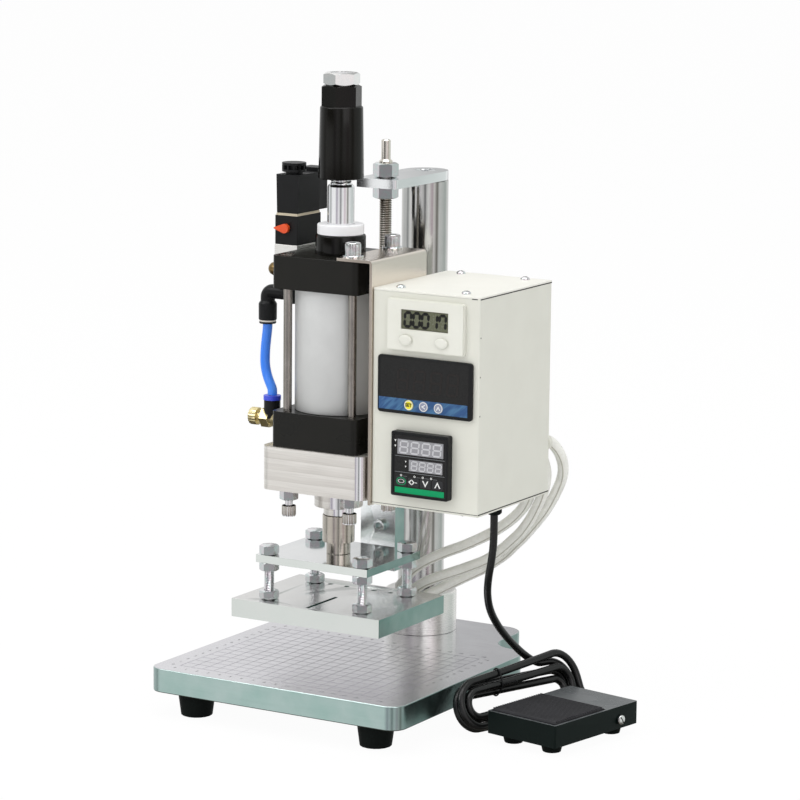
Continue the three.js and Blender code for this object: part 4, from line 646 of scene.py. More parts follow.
def words(items, size, depth=0.03, bold=0.0):
    """Printed or engraved characters: (text, x, y) centred on each place, lying on z = 0."""
    parts = []
    for body, x, y in items:
        data = bpy.data.curves.new("characters", "FONT")
        data.body = body
        data.size = size
        data.extrude = depth / 2
        data.offset = bold
        data.resolution_u = 3
        data.align_x = "CENTER"
        data.align_y = "CENTER"
        holder = add_object("characters", data)
        bpy.context.view_layer.update()
        mesh = bpy.data.meshes.new_from_object(holder.evaluated_get(bpy.context.evaluated_depsgraph_get()))
        part = bmesh.new()
        part.from_mesh(mesh)
        bmesh.ops.translate(part, vec=(x, y, depth / 2), verts=part.verts)
        parts.append(part)
        bpy.data.objects.remove(holder)
        bpy.data.meshes.remove(mesh)
    return joined(*parts)


ALONG_X = Matrix.Rotation(pi / 2, 4, "Y")
ALONG_LESS_X = Matrix.Rotation(-pi / 2, 4, "Y")
FRONT = Matrix.Rotation(pi / 2, 4, "X")
DOWN = Matrix.Rotation(pi, 4, "X")

# Edges that bend more than this many degrees stay sharp, or are rounded where a piece has a bevel
CREASE = 35.0
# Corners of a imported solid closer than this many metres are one, and faces this nearly level make one
WELD = 2e-6
LEVEL_ANGLE = radians(0.6)


def piece(name, made, slot, body, hides=(), finish=None, bevel=0.0):
    """A bmesh in the maker's millimetres becomes a piece that rides on a body.

    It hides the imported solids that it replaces. finish is given where it isn't the slot's own.
    """
    bmesh.ops.recalc_face_normals(made, faces=made.faces)
    mesh = bpy.data.meshes.new(name)
    made.to_mesh(mesh)
    made.free()
    mesh.transform(ROW)
    return set_up(name, mesh, slot, body, hides, finish, CREASE, bevel)


def set_up(name, mesh, slot, body, hides, finish, crease, bevel):
    """A mesh in the row frame becomes a piece, its edges rounded by bevel millimetres."""
    mesh.materials.clear()
    mesh.materials.append(finish or FINISHES[slot])
    mesh.shade_smooth()
    mesh.set_sharp_from_angle(angle=radians(crease))
    made = add_object(name, mesh)
    if bevel:
        rounding = made.modifiers.new("edges", "BEVEL")
        rounding.width = bevel / 1000
        rounding.segments = 2
        rounding.limit_method = "ANGLE"
        rounding.angle_limit = radians(crease)
        rounding.use_clamp_overlap = True
        rounding.harden_normals = True
    if body:
        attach(made, body)
    if hides:
        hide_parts(*hides)
    return made


def recoat(whole, finish, faces):
    """Gives some faces of a piece another finish."""
    whole.data.materials.append(finish)
    for face in faces:
        face.material_index = len(whole.data.materials) - 1


def dressed(node, slot, bevel, finish=None, crease=CREASE, zones=()):
    """The CAD piece again, welded, with real rounded edges.

    zones gives parts of it another finish: pairs of a finish and of a test on a face's middle and normal.
    """
    source = nodes[node]
    made = bmesh.new()
    made.from_mesh(source.data)
    bmesh.ops.remove_doubles(made, verts=made.verts, dist=WELD)
    bmesh.ops.dissolve_limit(
        made, angle_limit=LEVEL_ANGLE, use_dissolve_boundaries=False, verts=made.verts, edges=made.edges
    )
    mesh = bpy.data.meshes.new("dressed_" + node)
    made.to_mesh(mesh)
    made.free()
    whole = set_up(mesh.name, mesh, slot, source["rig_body"], (node,), finish, crease, bevel)
    for other, holds in zones:
        recoat(whole, other, [face for face in mesh.polygons if holds(BACK @ face.center, face.normal)])


def between(low, high):
    """A zone: the faces of a piece whose middles lie between two levels."""
    return lambda point, _: low < point.z <= high


# ---- cords, hose and sleeves


def smooth_line(points, step):
    """The centripetal spline through points, as evenly spaced points about step apart."""
    spots = [Vector(p) for p in points]
    spots = [2 * spots[0] - spots[1]] + spots + [2 * spots[-1] - spots[-2]]
    line = [spots[1]]
    for a, b, c, d in zip(spots, spots[1:], spots[2:], spots[3:]):
        first, middle, last = ((q - p).length ** 0.5 for p, q in ((a, b), (b, c), (c, d)))
        leave = ((b - a) / first - (c - a) / (first + middle) + (c - b) / middle) * middle
        reach = ((c - b) / middle - (d - b) / (middle + last) + (d - c) / last) * middle
        count = max(2, round((c - b).length / step))
        for n in range(1, count + 1):
            t = n / count
            line.append(
                (2 * t**3 - 3 * t**2 + 1) * b
                + (t**3 - 2 * t**2 + t) * leave
                + (3 * t**2 - 2 * t**3) * c
                + (t**3 - t**2) * reach
            )
    return line


def tube(line, radius, sides):
    """A tube along a line, its rings carried along without twist. radius may follow the point's index."""
    side = (line[1] - line[0]).orthogonal().normalized()
    rings = []
    for i, point in enumerate(line):
        heading = (line[min(i + 1, len(line) - 1)] - line[max(i - 1, 0)]).normalized()
        side = (side - side.dot(heading) * heading).normalized()
        up = heading.cross(side)
        r = radius(i) if callable(radius) else radius
        turns = [TURN * k / sides for k in range(sides)]
        rings.append([point + r * (cos(t) * side + sin(t) * up) for t in turns])
    return lofted(rings)


CORD_MM = 5.8
HOSE_MM = 7.4
SLEEVE_MM = 8.4
# The hank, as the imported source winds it: the radius of its innermost fold, the pitch of its runs, the
# step to its upper layer, the length of its straight runs, and how its last loops lift and climb
HANK_TURNS = 4.125
HANK_INNER = 6.0
HANK_PITCH = 7.0
HANK_STEP = 6.6
HANK_RUN = 84.0
HANK_PLACE = (134.2, 34.0)
HANK_HEADING = radians(-17.0)
HANK_LEAN = radians(22.0)
HANK_LIFT = 0.18
HANK_CLIMB = 0.5

DROP_ROUTE = [
    (131.6, 5, 164.8), (131.7, 4.8, 153.4), (131.6, 4.4, 142.2), (130.5, 4, 130.7), (127.8, 4.6, 116),
    (125.9, 7, 104.6), (124.4, 13.4, 91.4), (124.8, 23, 78.4), (125.8, 35, 66.6), (127.4, 47, 56.2),
    (130, 56, 48.4), (133.4, 62.4, 43), (136.4, 66.8, 40.2), (137.2, 68.5, 39.6), (137.9, 70.4, 39.4),
]
TAIL_ROUTE = [
    (159.9, 91.6, 20.4), (160.7, 91.5, 18.3), (163.2, 92.2, 14), (168.4, 94.8, 10.8), (175.4, 97.4, 9.6),
    (183.2, 97.8, 9.8), (190.6, 94.6, 10.8), (196, 88.4, 12), (198.4, 80.6, 13), (198.1, 74.1, 13.4),
    (197.55, 70.75, 13.4),
]
HOSE_ROUTE = [
    (-69.5, 8, 290.5), (-69.7, 8, 285.5), (-70.6, 7.8, 277), (-70.9, 6.9, 268), (-69.8, 5.2, 258),
    (-66.4, 3, 250), (-62.2, 0.9, 244), (-60, 0, 240.6), (-60, 0, 236.5),
]
SLEEVE_ROUTES = {
    "upper": [
        (16, 48.3, 79.7), (16, 50.3, 79.7), (17.4, 54.6, 81.2), (22.4, 57.6, 89), (30.4, 58.6, 99.4),
        (41.9, 60, 108.2), (55.1, 66, 115.4), (67.4, 73, 120.9), (76.4, 78, 125.6), (85.4, 82, 130.9),
        (93, 84, 136.2), (100.8, 86, 142.4), (106.8, 87.6, 148.6), (111.6, 88.6, 155), (115.6, 89, 164),
        (117.2, 87.4, 174.6), (117.4, 83.4, 183), (117.4, 79, 188), (117.4, 75.8, 188),
    ],
    "middle": [
        (27.5, 48.3, 79.7), (27.5, 50.3, 79.7), (29.4, 54.2, 81.4), (35, 58, 87), (43.6, 61, 92.8),
        (55.2, 67.4, 97.8), (66, 75, 102.2), (73.2, 79.4, 105.4), (80.9, 83.6, 109.2), (87.6, 86.6, 114.1),
        (94.3, 88.8, 120), (100.6, 90, 126.1), (106.9, 91, 132.6), (112.4, 91.4, 139.9), (117.1, 91.6, 147.4),
        (120.7, 91.6, 154.4), (124.6, 91.6, 163), (127.6, 90.8, 172.4), (129.4, 88.6, 182.4),
        (129.6, 84.4, 191.4), (129.6, 79.4, 197.2), (129.6, 75.8, 197.2),
    ],
    "lower": [
        (39, 48.3, 79.7), (39, 50.3, 79.7), (40.6, 55.6, 80.4), (45.4, 64, 83), (52.4, 72.6, 87.4),
        (61, 81.4, 92.6), (68.4, 88, 96.9), (74.7, 92.8, 100.6), (82.1, 96.4, 106.2), (90, 99.2, 112.6),
        (96.6, 100.6, 119.6), (104.4, 101.4, 127.6), (110.6, 101.8, 134.9), (117, 102, 142.7),
        (123, 102, 150.6), (128.2, 101.6, 158.9), (132.9, 100.2, 167), (137.6, 97.6, 175.4),
        (141, 94.4, 184.4), (141.4, 90.6, 194.4), (139, 85.6, 203.4), (135.8, 79.8, 208.8),
        (135.8, 75.8, 208.8),
    ],
}


def hank_point(share):
    """The centre line of the tied hank at a share of its length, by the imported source's own formula."""
    turn = share * HANK_TURNS
    past = turn - HANK_TURNS / 2
    outer = HANK_INNER + HANK_PITCH * HANK_TURNS / 2
    radius = HANK_INNER + HANK_PITCH * abs(past)
    layer = min(1.0, max(0.0, past / HANK_CLIMB + 0.5))
    in_turn = (turn % 1) * 4
    quarter = int(in_turn)
    part = in_turn - quarter
    half = HANK_RUN / 2
    fold = pi * (0.5 - part)
    along, level = (
        (half + radius * cos(fold), radius * sin(fold)),
        (half - HANK_RUN * part, -radius),
        (-half - radius * cos(fold), -radius * sin(fold)),
        (HANK_RUN * part - half, radius),
    )[quarter]
    lifting = min(1.0, max(0.0, (past - HANK_CLIMB / 2) / (HANK_TURNS / 2)))
    lift = 1 + HANK_LIFT * lifting * max(0.0, along / HANK_RUN + 0.5)
    across = (level + outer - HANK_PITCH / 4) * lift
    step = layer * HANK_STEP
    side = (outer - across) * sin(HANK_LEAN) + step * cos(HANK_LEAN)
    return Vector(
        (
            HANK_PLACE[0] + side * cos(HANK_HEADING) - along * sin(HANK_HEADING),
            HANK_PLACE[1] + side * sin(HANK_HEADING) + along * cos(HANK_HEADING),
            CORD_MM / 2 + across * cos(HANK_LEAN) + step * sin(HANK_LEAN),
        )
    )


def tight_round(spots, reach):
    """The shortest loop round circles of radius reach, as points in their plane."""
    rim = []
    for x, y in spots:
        rim += [(x + reach * cos(TURN * i / 24), y + reach * sin(TURN * i / 24)) for i in range(24)]
    rim.sort()
    halves = []
    for ordered in (rim, rim[::-1]):
        half = []
        for p in ordered:
            while len(half) > 1:
                (ax, ay), (bx, by) = half[-2:]
                if (bx - ax) * (p[1] - ay) - (by - ay) * (p[0] - ax) > 0:
                    break
                half.pop()
            half.append(p)
        halves += half[:-1]
    return halves


def sleeve_rings(line):
    """The radius at each point: the leads, then a rolled mouth, then the full sleeve."""
    travelled = [0.0]
    for a, b in zip(line, line[1:]):
        travelled.append(travelled[-1] + (b - a).length)
    rings = []
    for way in travelled:
        grown = min(1.0, max(0.0, (way - LEADS_SHOWN) / MOUTH)) ** 0.5
        rings.append((LEADS_MM + (SLEEVE_MM - LEADS_MM) * grown) / 2)
    return rings, sum(1 for way in travelled if way < LEADS_SHOWN)


def beside(line, side, reach):
    """A line that runs beside another at reach, on the given side of it."""
    offset = []
    for before, point, after in zip([line[0]] + line, line, line[1:] + [line[-1]]):
        heading = (after - before).normalized()
        offset.append(point + (side - side.dot(heading) * heading).normalized() * reach)
    return offset


def declared(line):
    return [at(*p) for p in line]


SHARED_MM = 0.6


def joined_lines(*lines):
    """Lines end to end, without the points that they share."""
    whole = []
    for line in lines:
        for point in line:
            if not whole or (point - whole[-1]).length > SHARED_MM:
                whole.append(point)
    return whole


HANK_STEPS = 360
CORD_STEP = 2.5
CORD_SIDES = 14
hank_line = [hank_point(i / HANK_STEPS) for i in range(HANK_STEPS + 1)]
cord_line = joined_lines(smooth_line(DROP_ROUTE, CORD_STEP), hank_line, smooth_line(TAIL_ROUTE, CORD_STEP))
cord = piece(
    "foot_switch_cord",
    tube(cord_line, CORD_MM / 2, CORD_SIDES),
    "cord_jacket",
    None,
    ("pedal_cord_hank", "pedal_cord_drop", "pedal_cord_tail"),
)

# Twist tie: a covered wire drawn tight round the four upper runs, its two ends twisted together
TIE_SHARE = 0.3
TIE_GAP = 0.75
TIE_WIRE = 0.65
TIE_TWISTS = 3.5
TIE_END = 13.0
TIE_SIDES = 8
TIE_STEPS = 39
ALONG_HANK = Vector((-sin(HANK_HEADING), cos(HANK_HEADING), 0.0))
UP_HANK = Vector(
    (
        -sin(HANK_LEAN) * cos(HANK_HEADING),
        -sin(HANK_LEAN) * sin(HANK_HEADING),
        cos(HANK_LEAN),
    )
)
OUT_HANK = Vector(
    (cos(HANK_LEAN) * cos(HANK_HEADING), cos(HANK_LEAN) * sin(HANK_HEADING), sin(HANK_LEAN))
)

runs = [hank_point((turn + 0.75 + TIE_SHARE / 4) / HANK_TURNS) for turn in range(int(HANK_TURNS))]
tie_plane = [((run - runs[0]).dot(UP_HANK), (run - runs[0]).dot(OUT_HANK)) for run in runs]
tight = tight_round(tie_plane, CORD_MM / 2 + TIE_GAP)
tie_loop = [runs[0] + up * UP_HANK + out * OUT_HANK for up, out in tight]
knot = max(tie_loop, key=lambda p: p.dot(OUT_HANK) - 0.4 * p.dot(UP_HANK))
tie_parts = [tube(tie_loop + tie_loop[:2], TIE_WIRE, TIE_SIDES)]
for half_turn in (0.0, pi):
    strand = []
    for i in range(TIE_STEPS + 1):
        share = i / TIE_STEPS
        angle = half_turn + TURN * TIE_TWISTS * share
        spread = TIE_WIRE * (1.0 + 2.2 * max(0.0, share - 0.8))
        centre = knot + TIE_END * share * (ALONG_HANK + 0.12 * OUT_HANK) + 0.3 * OUT_HANK
        strand.append(centre + spread * (cos(angle) * UP_HANK + sin(angle) * OUT_HANK))
    tie_parts.append(tube(strand, TIE_WIRE * 0.9, TIE_SIDES))
tie = piece("cord_tie", joined(*tie_parts), "black_plastic", "stand")

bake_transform(cord)
declared(cord_line)

# Each sleeve ends short of the platen, and the heater's leads show between the two
SLEEVE_SIDES = 20
LEADS_MM = 4.2
LEADS_SHOWN = 11.0
MOUTH = 2.0
# The leads show through the silicone as a darker line down this side
LINE_SIDE = Vector((0.35, -0.75, -0.55))
LINE_MM = 0.6
LINE_PROUD = 0.35

for name, route in SLEEVE_ROUTES.items():
    sleeve_line = smooth_line(route, 1.6)
    rings, lead_rings = sleeve_rings(sleeve_line)
    inside = beside(sleeve_line[lead_rings + 2 :], LINE_SIDE, SLEEVE_MM / 2 - LINE_PROUD)
    sleeve = piece(
        "heater_lead_" + name,
        joined(tube(sleeve_line, rings.__getitem__, SLEEVE_SIDES), tube(inside, LINE_MM, 8)),
        "pale_sleeving",
        None,
        ("heater_sleeve_" + name,),
    )
    # the first rings are bare leads, and the line inside comes after the sleeve's own faces and two ends
    recoat(sleeve, LEAD_SKIN, sleeve.data.polygons[: (lead_rings - 1) * SLEEVE_SIDES])
    recoat(sleeve, LEAD_SHADOW, sleeve.data.polygons[(len(sleeve_line) - 1) * SLEEVE_SIDES + 2 :])
    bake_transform(sleeve)
    declared(reversed(sleeve_line))

hose_line = smooth_line(HOSE_ROUTE, 2.0)
hose = piece("cylinder_air_hose", tube(hose_line, HOSE_MM / 2, 24), "blue_tube", "head", ("air_hose",))
declared(hose_line)


# ---- stand

BASE_TOP = 37.0
ARM_LOW = 172.2
BARREL_LOW = 232.0
BARREL_TOP = 324.5
CAP_TOP = 349.5
BRACKET_TOP = 351.8
LIFT_Y = 64.5
TIE_ROD_REACH = 28.25
CORNERS = ("front_left", "front_right", "rear_left", "rear_right")

dressed("base_plate", "bright_aluminium", 0.9, TABLE_PLATE)
for corner in CORNERS:
    dressed("foot_" + corner, "black_rubber", 0.9)
dressed("column_collar", "brushed_aluminium", 0.3)
dressed("top_plate", "brushed_aluminium", 0.5, TOP_PLATE_PAINTED_LIGHT)

column = spun([(17.0, 37.3), (18.0, 38.2), (18.0, 392.6), (17.0, 393.4)], 128)
piece("polished_column", moved(column, 0, COLUMN_Y), "hard_chrome", "stand", ("column",), COLUMN_PAINTED_SHADE)

# Counted grid on the table: 1 cm squares, numbered along its four sides, engraved a few hundredths deep
GRID_LEFT = -91.3
GRID_FRONT = -78.0
GRID_COLUMNS = 18
GRID_ROWS = 14
GRID_PITCH = 10.0
GRAVE_WIDTH = 0.42
GRAVE_HEIGHT = 0.03
NUMBER_MM = 4.2
grid = []
numbers = []
half_line = GRAVE_WIDTH / 2
grid_right = GRID_LEFT + GRID_COLUMNS * GRID_PITCH
grid_rear = GRID_FRONT + GRID_ROWS * GRID_PITCH
for i in range(GRID_COLUMNS + 1):
    x = GRID_LEFT + i * GRID_PITCH
    grid.append(strip(x - half_line, GRID_FRONT, x + half_line, grid_rear, BASE_TOP, GRAVE_HEIGHT))
    numbers += [(str(i), x, GRID_FRONT - 7.4), (str(i), x, grid_rear + 7.0)]
for i in range(GRID_ROWS + 1):
    y = GRID_FRONT + i * GRID_PITCH
    grid.append(strip(GRID_LEFT, y - half_line, grid_right, y + half_line, BASE_TOP, GRAVE_HEIGHT * 1.2))
    numbers += [(str(i), GRID_LEFT - 6.6, y), (str(i), grid_right + 6.4, y)]
piece("table_grid", joined(*grid), "bright_aluminium", "stand", finish=GRAVED)
numbers = moved(words(numbers, NUMBER_MM), 0, 0, BASE_TOP)
piece("table_numbers", numbers, "bright_aluminium", "stand", finish=GRAVED_DIGIT)

# Lift screw: its thread, drawn coarser than the 1.5 mm a turn of its joint so that it shows, two
# locked nuts and a spindle end for the crank
LIFT_LOW = 178.0
LIFT_HIGH = 393.0
LIFT_ROOT = 4.55
lift = joined(
    threaded(10.0, 1.75, LIFT_LOW, LIFT_HIGH, 32, 6, 0.6),
    spun([(3.2, LIFT_HIGH), (4.9, 393.6), (4.9, 411.4), (5.2, 411.4), (5.2, 412.8), (4.4, 413.6), (3.6, 414.4),
          (3.6, 428.4), (2.8, 429.2), (0.3, 429.3)], 32),
)
lift = piece("lift_screw_thread", moved(lift, 0, LIFT_Y), "bare_steel", "lift_screw", ("lift_screw",), THREAD_CREST)
# the faces inside the thread's root radius take the painted shade
shaded_roots = []
for face in lift.data.polygons:
    centre = BACK @ face.center
    if hypot(centre.x, centre.y - LIFT_Y) < LIFT_ROOT and centre.z < LIFT_HIGH:
        shaded_roots.append(face)
recoat(lift, THREAD_ROOT_SHADE, shaded_roots)
nuts = joined(hex_nut(17.0, 384.6, 393.2, 4.8), hex_nut(17.0, 400.8, 411.4, 4.8))
piece("lift_screw_nuts", moved(nuts, 0, LIFT_Y), "zinc_plated_steel", "lift_screw")


# ---- head

BOSS_REACH = 19.5
STOPS = [(sx * 26.75, sy * 28.0) for sy in (-1, 1) for sx in (-1, 1)]


def by_stop(point, _):
    """The parts of the arm that are its four stop screws: all that hangs under it beside the boss."""
    return point.z < ARM_LOW - 0.05 and hypot(point.x, point.y) > BOSS_REACH


def on_front_corner(_, normal):
    """The arm's rounded front corner, which was polished round with the bracket's seat."""
    return normal.x > 0.12 and normal.y < -0.12 and abs(normal.z) < 0.5


dressed(
    "head_arm",
    "brushed_aluminium",
    0.45,
    MILLED,
    zones=((FINISHES["zinc_plated_steel"], by_stop), (FINISHES["hard_chrome"], on_front_corner)),
)
dressed("arm_clamp_screw", "bare_steel", 0.3)
dressed("lift_nut_block", "brushed_aluminium", 0.4, FLY_CUT)
for number, (x, y) in enumerate(STOPS, 1):
    nut = hex_nut(12.25, ARM_LOW - 8.05, ARM_LOW - 0.4, 3.1)
    piece("stop_nut_%d" % number, moved(nut, x, y), "zinc_plated_steel", "head")
    stop = joined(
        threaded(6.15, 1.0, ARM_LOW - 12.9, ARM_LOW - 7.9, 20),
        moved(socket_head(10.7, 7.95, 5.0, 24), 0, 0, ARM_LOW - 12.8, DOWN),
    )
    piece("stop_screw_%d" % number, moved(stop, x, y), "bare_steel", "head")


def tie_metal(point, _):
    """Tie rods between the caps, and what stands above the top cap."""
    on_rods = BARREL_LOW + 0.05 < point.z < BARREL_TOP - 0.05
    return on_rods or point.z > CAP_TOP - 10.5


dressed("bottom_cap", "black_anodised", 0.5, zones=((DRAWN_ROD, tie_metal),))
dressed("top_cap", "black_anodised", 0.5)
for way, name in ((-1, "front"), (1, "rear")):
    head = joined(
        spun([(3.6, 0.0), (7.8, 0.0), (7.9, 0.3), (7.9, 1.4), (7.6, 1.7), (3.6, 1.7)], 48),
        moved(socket_head(11.9, 9.3, 5.5), 0, 0, 1.6),
    )
    head = moved(head, TIE_ROD_REACH, way * TIE_ROD_REACH, BRACKET_TOP + 0.05)
    piece("tie_screw_" + name, head, "zinc_plated_steel", "head")
barrel = spun([(32.4, 232.2), (33.5, 232.3), (33.75, 232.7), (33.75, 324.0), (33.5, 324.3), (32.4, 324.4)], 128)
piece("cylinder_tube", barrel, "barrel_aluminium", "head", ("cylinder_barrel",))
bearing = spun([(10.3, 349.6), (18.9, 349.6), (18.9, 362.6), (18.5, 363.6), (17.7, 364.1), (12.0, 364.1),
                (11.6, 363.4), (10.3, 363.4)], 96, hollow=True)
piece("rod_bearing_cover", bearing, "black_anodised", "head", ("rod_bearing",), POLISHED_BLACK)
washer = spun([(10.3, 364.3), (17.2, 364.3), (17.5, 364.6), (17.5, 371.2), (17.1, 371.7), (16.7, 371.8),
               (10.6, 371.8), (10.3, 371.5)], 96, hollow=True)
piece("nylon_buffer", washer, "white_nylon", "head", ("buffer_washer",))
dressed("side_bracket", "bare_steel", 0.25, SHEET)


# ---- ram

rod = joined(
    spun([(6.0, 136.4), (6.0, 150.6), (9.4, 150.6), (10.0, 151.2), (10.0, 305.4), (31.2, 305.4), (31.2, 323.4),
          (10.0, 323.4), (10.0, 399.6), (8.8, 401.3), (7.2, 401.4)], 96),
    threaded(16.0, 2.0, 401.3, 484.0, 48, 6, 0.5),
)
piece("ram_shaft", rod, "hard_chrome", "ram", ("ram_rod",))
dressed("ram_coupling", "bare_steel", 0.4)
nut = joined(hex_nut(24.0, 475.1, 484.2, 8.1), spun([(0.3, 483.1), (6.6, 483.1), (7.7, 482.4)], 48))
nut = moved(nut, turn=Matrix.Rotation(radians(12), 4, "Z"))
piece("sleeve_lock_nut", nut, "zinc_plated_steel", "ram", ("top_nut",), NICKEL)
# Stroke limiter: a tapered sleeve with a chamfered hexagon on top
HEX_LOW = 459.4
HEX_HIGH = 475.0
HEX_RIM = 12.9
SLEEVE_BORE = 8.3
hex_top = hexagon(26.5, radians(15))
sleeve = spun([
    (SLEEVE_BORE, 405.7), (16.2, 405.7), (16.75, 405.95), (17.0, 406.5), (16.05, 458.2), (15.8, 458.9),
    (15.2, HEX_LOW), (hex_top, HEX_LOW), (hex_top, lambda a: HEX_HIGH - (hex_top(a) - HEX_RIM) * 0.5),
    (HEX_RIM, HEX_HIGH), (SLEEVE_BORE, HEX_HIGH),
], 96, hollow=True)
piece("stroke_adjuster", sleeve, "black_anodised", "stroke_sleeve", ("stroke_sleeve",), POLISHED_BLACK)
dressed("upper_plate", "bright_aluminium", 0.5)
dressed("heating_platen", "bright_aluminium", 0.5, PLATEN_FACE)
# Levelling bolts: a head above the upper plate, a nut under it and a nut on the platen
PLATEN_TOP = 86.7
BOLT_FLATS = 13.0
for corner in CORNERS:
    node = "bolt_" + corner
    _, middle, _ = spans(node)
    bolt = joined(
        threaded(8.0, 1.25, 78.7, 121.4),
        hex_nut(BOLT_FLATS, 121.1, 128.1),
        hex_nut(BOLT_FLATS, 108.5, 114.9, 3.9),
        hex_nut(BOLT_FLATS, PLATEN_TOP + 0.1, PLATEN_TOP + 6.5, 3.9),
    )
    piece("leveling_" + corner, moved(bolt, middle.x, middle.y), "zinc_plated_steel", "ram", (node,))


# ---- control box

BOX_LEFT = 50.6
BOX_TOP = 332.3
BOX_LOW = 170.8
PANEL_Y = -36.0
BOX_WIDTH = 90.0
BOX_DEPTH = 108.0
SHEET_MM = 1.6
SCREW_INSETS = (17.5, 10.0)

dressed("box_casing", "white_paint", 0.55)
for name, level, coat in (("box_lid", BOX_TOP - SHEET_MM, LID_PAINTED_LIGHT), ("box_floor", BOX_LOW, None)):
    cover = pane(BOX_WIDTH, BOX_DEPTH, 0.9, BOX_LEFT + BOX_WIDTH / 2, PANEL_Y + BOX_DEPTH / 2, SHEET_MM)
    piece(name + "_sheet", moved(cover, 0, 0, level), "white_paint", "head", (name,), coat, bevel=0.3)
in_x, in_y = SCREW_INSETS
screw_places = [(x, y) for x in (in_x, BOX_WIDTH - in_x) for y in (in_y, BOX_DEPTH - in_y)]
for number, (x, y) in enumerate(screw_places, 1):
    for place, level, turn in (("lid", BOX_TOP, Matrix()), ("floor", BOX_LOW, DOWN)):
        pan = spun([(2.9, -0.2), (3.55, 0.0), (3.6, 0.7), (3.2, 1.5), (2.3, 2.05), (0.6, 2.25)], 32)
        # the cross recess is a strip of painted shadow
        cross = joined(strip(-1.7, -0.35, 1.7, 0.35, 2.14, 0.12), strip(-0.35, -1.7, 0.35, 1.7, 2.16, 0.12))
        spot = (BOX_LEFT + x, PANEL_Y + y, level)
        name = "%s_screw_%d" % (place, number)
        piece(name, moved(pan, *spot, turn), "zinc_plated_steel", "head")
        piece(name + "_recess", moved(cross, *spot, turn), "zinc_plated_steel", "head", finish=SHADOW_LINE)
dressed("cord_gland", "black_rubber", 0.3)

# The folded lid and floor leave seams, drawn as strips of painted shadow, and three rivets hold the front to the
# side, in the same dark finish
LID_SEAM = 330.65
FLOOR_SEAM = 172.45
SEAM = 0.85
PROUD = 0.03
BOX_RIGHT = BOX_LEFT + BOX_WIDTH
BOX_REAR = PANEL_Y + BOX_DEPTH
seams = []
for level in (LID_SEAM, FLOOR_SEAM):
    side_seam = strip(BOX_RIGHT - PROUD, PANEL_Y + 0.3, BOX_RIGHT + PROUD, BOX_REAR - 0.3, level - SEAM / 2, SEAM)
    rear_seam = strip(BOX_LEFT + 0.3, BOX_REAR - PROUD, BOX_RIGHT - 0.3, BOX_REAR + PROUD, level - SEAM / 2, SEAM)
    seams += [side_seam, rear_seam]
seams.append(strip(BOX_RIGHT - 7.0, PANEL_Y - PROUD, BOX_RIGHT - 2.4, PANEL_Y + PROUD, LID_SEAM - 0.35, 0.7))
seams.append(strip(BOX_LEFT + 0.4, PANEL_Y - PROUD, BOX_RIGHT - 0.4, PANEL_Y + PROUD, FLOOR_SEAM - 0.2, 0.4))
for level in (302.7, 274.0, 245.3):
    rivet = spun([(0.2, 0.0), (0.55, 0.0), (0.45, 0.12), (0.2, 0.15)], 12)
    seams.append(moved(rivet, BOX_RIGHT, PANEL_Y + 1.3, level, ALONG_X))
piece("box_seams", joined(*seams), "white_paint", "head", finish=SHADOW_LINE)


def on_front(name, part, y, finish):
    """A flat part as a piece on the front face. It is drawn in x and y from the panel's upper left corner."""
    piece(name, moved(part, BOX_LEFT, y, BOX_TOP, FRONT), "black_plastic", "head", finish=finish)


# Counter: ivory moulding with a liquid crystal window and two domed buttons
dressed("counter", "ivory_plastic", 0.7)
COUNTER_FLOOR = PANEL_Y - 2.9
on_front("counter_lcd_frame", pane(39.2, 14.2, 0.3, 45.6, -20.5, 0.25), COUNTER_FLOOR, LCD_FRAME)
on_front("counter_lcd", pane(37.2, 12.6, 0.2, 45.9, -20.5, 0.1), COUNTER_FLOOR - 0.25, LCD_BACK)
count = digits("00017", 28.6, -15.4, 5.2, 10.2, 7.25, 0.06, 2.2, 0.1)
on_front("counter_digits", count, COUNTER_FLOOR - 0.35, INK_BLACK)
for side in ("left", "right"):
    node = "counter_button_" + side
    _, middle, high = spans(node)
    spot = (middle.x, high.y, middle.z, FRONT)
    stem = spun([(2.0, 0.0), (3.7, 0.0), (3.7, 3.0)], 48)
    oval = spun([(0.2, 2.95), (0.97, 2.95), (1.0, 3.1), (0.95, 3.4), (0.75, 3.7), (0.4, 3.85), (0.02, 3.9)], 48)
    dome = joined(stem, moved(oval, turn=Matrix.Diagonal((5.3, 3.9, 1.0, 1.0))))
    piece("counter_bush_" + side, moved(annulus(3.78, 4.28, 0.2, 1.8, 48), *spot), "ivory_plastic", "head")
    piece("counter_key_" + side, moved(dome, *spot), "ivory_plastic", node, (node,))

# Meter: black bezel, smoked window, blue printed band and three membrane keys
dressed("meter", "black_plastic", 0.5)
METER_FACE = PANEL_Y - 2.5
on_front("meter_window", pane(74.4, 30.2, 0.6, 45.4, -64.6, 0.12), METER_FACE, SMOKED)
ghost = digits("8888", 22.4, -58.0, 8.4, 15.4, 14.0, 0.08, 1.7)
on_front("meter_ghost_digits", ghost, METER_FACE - 0.1, GHOST_DARK)

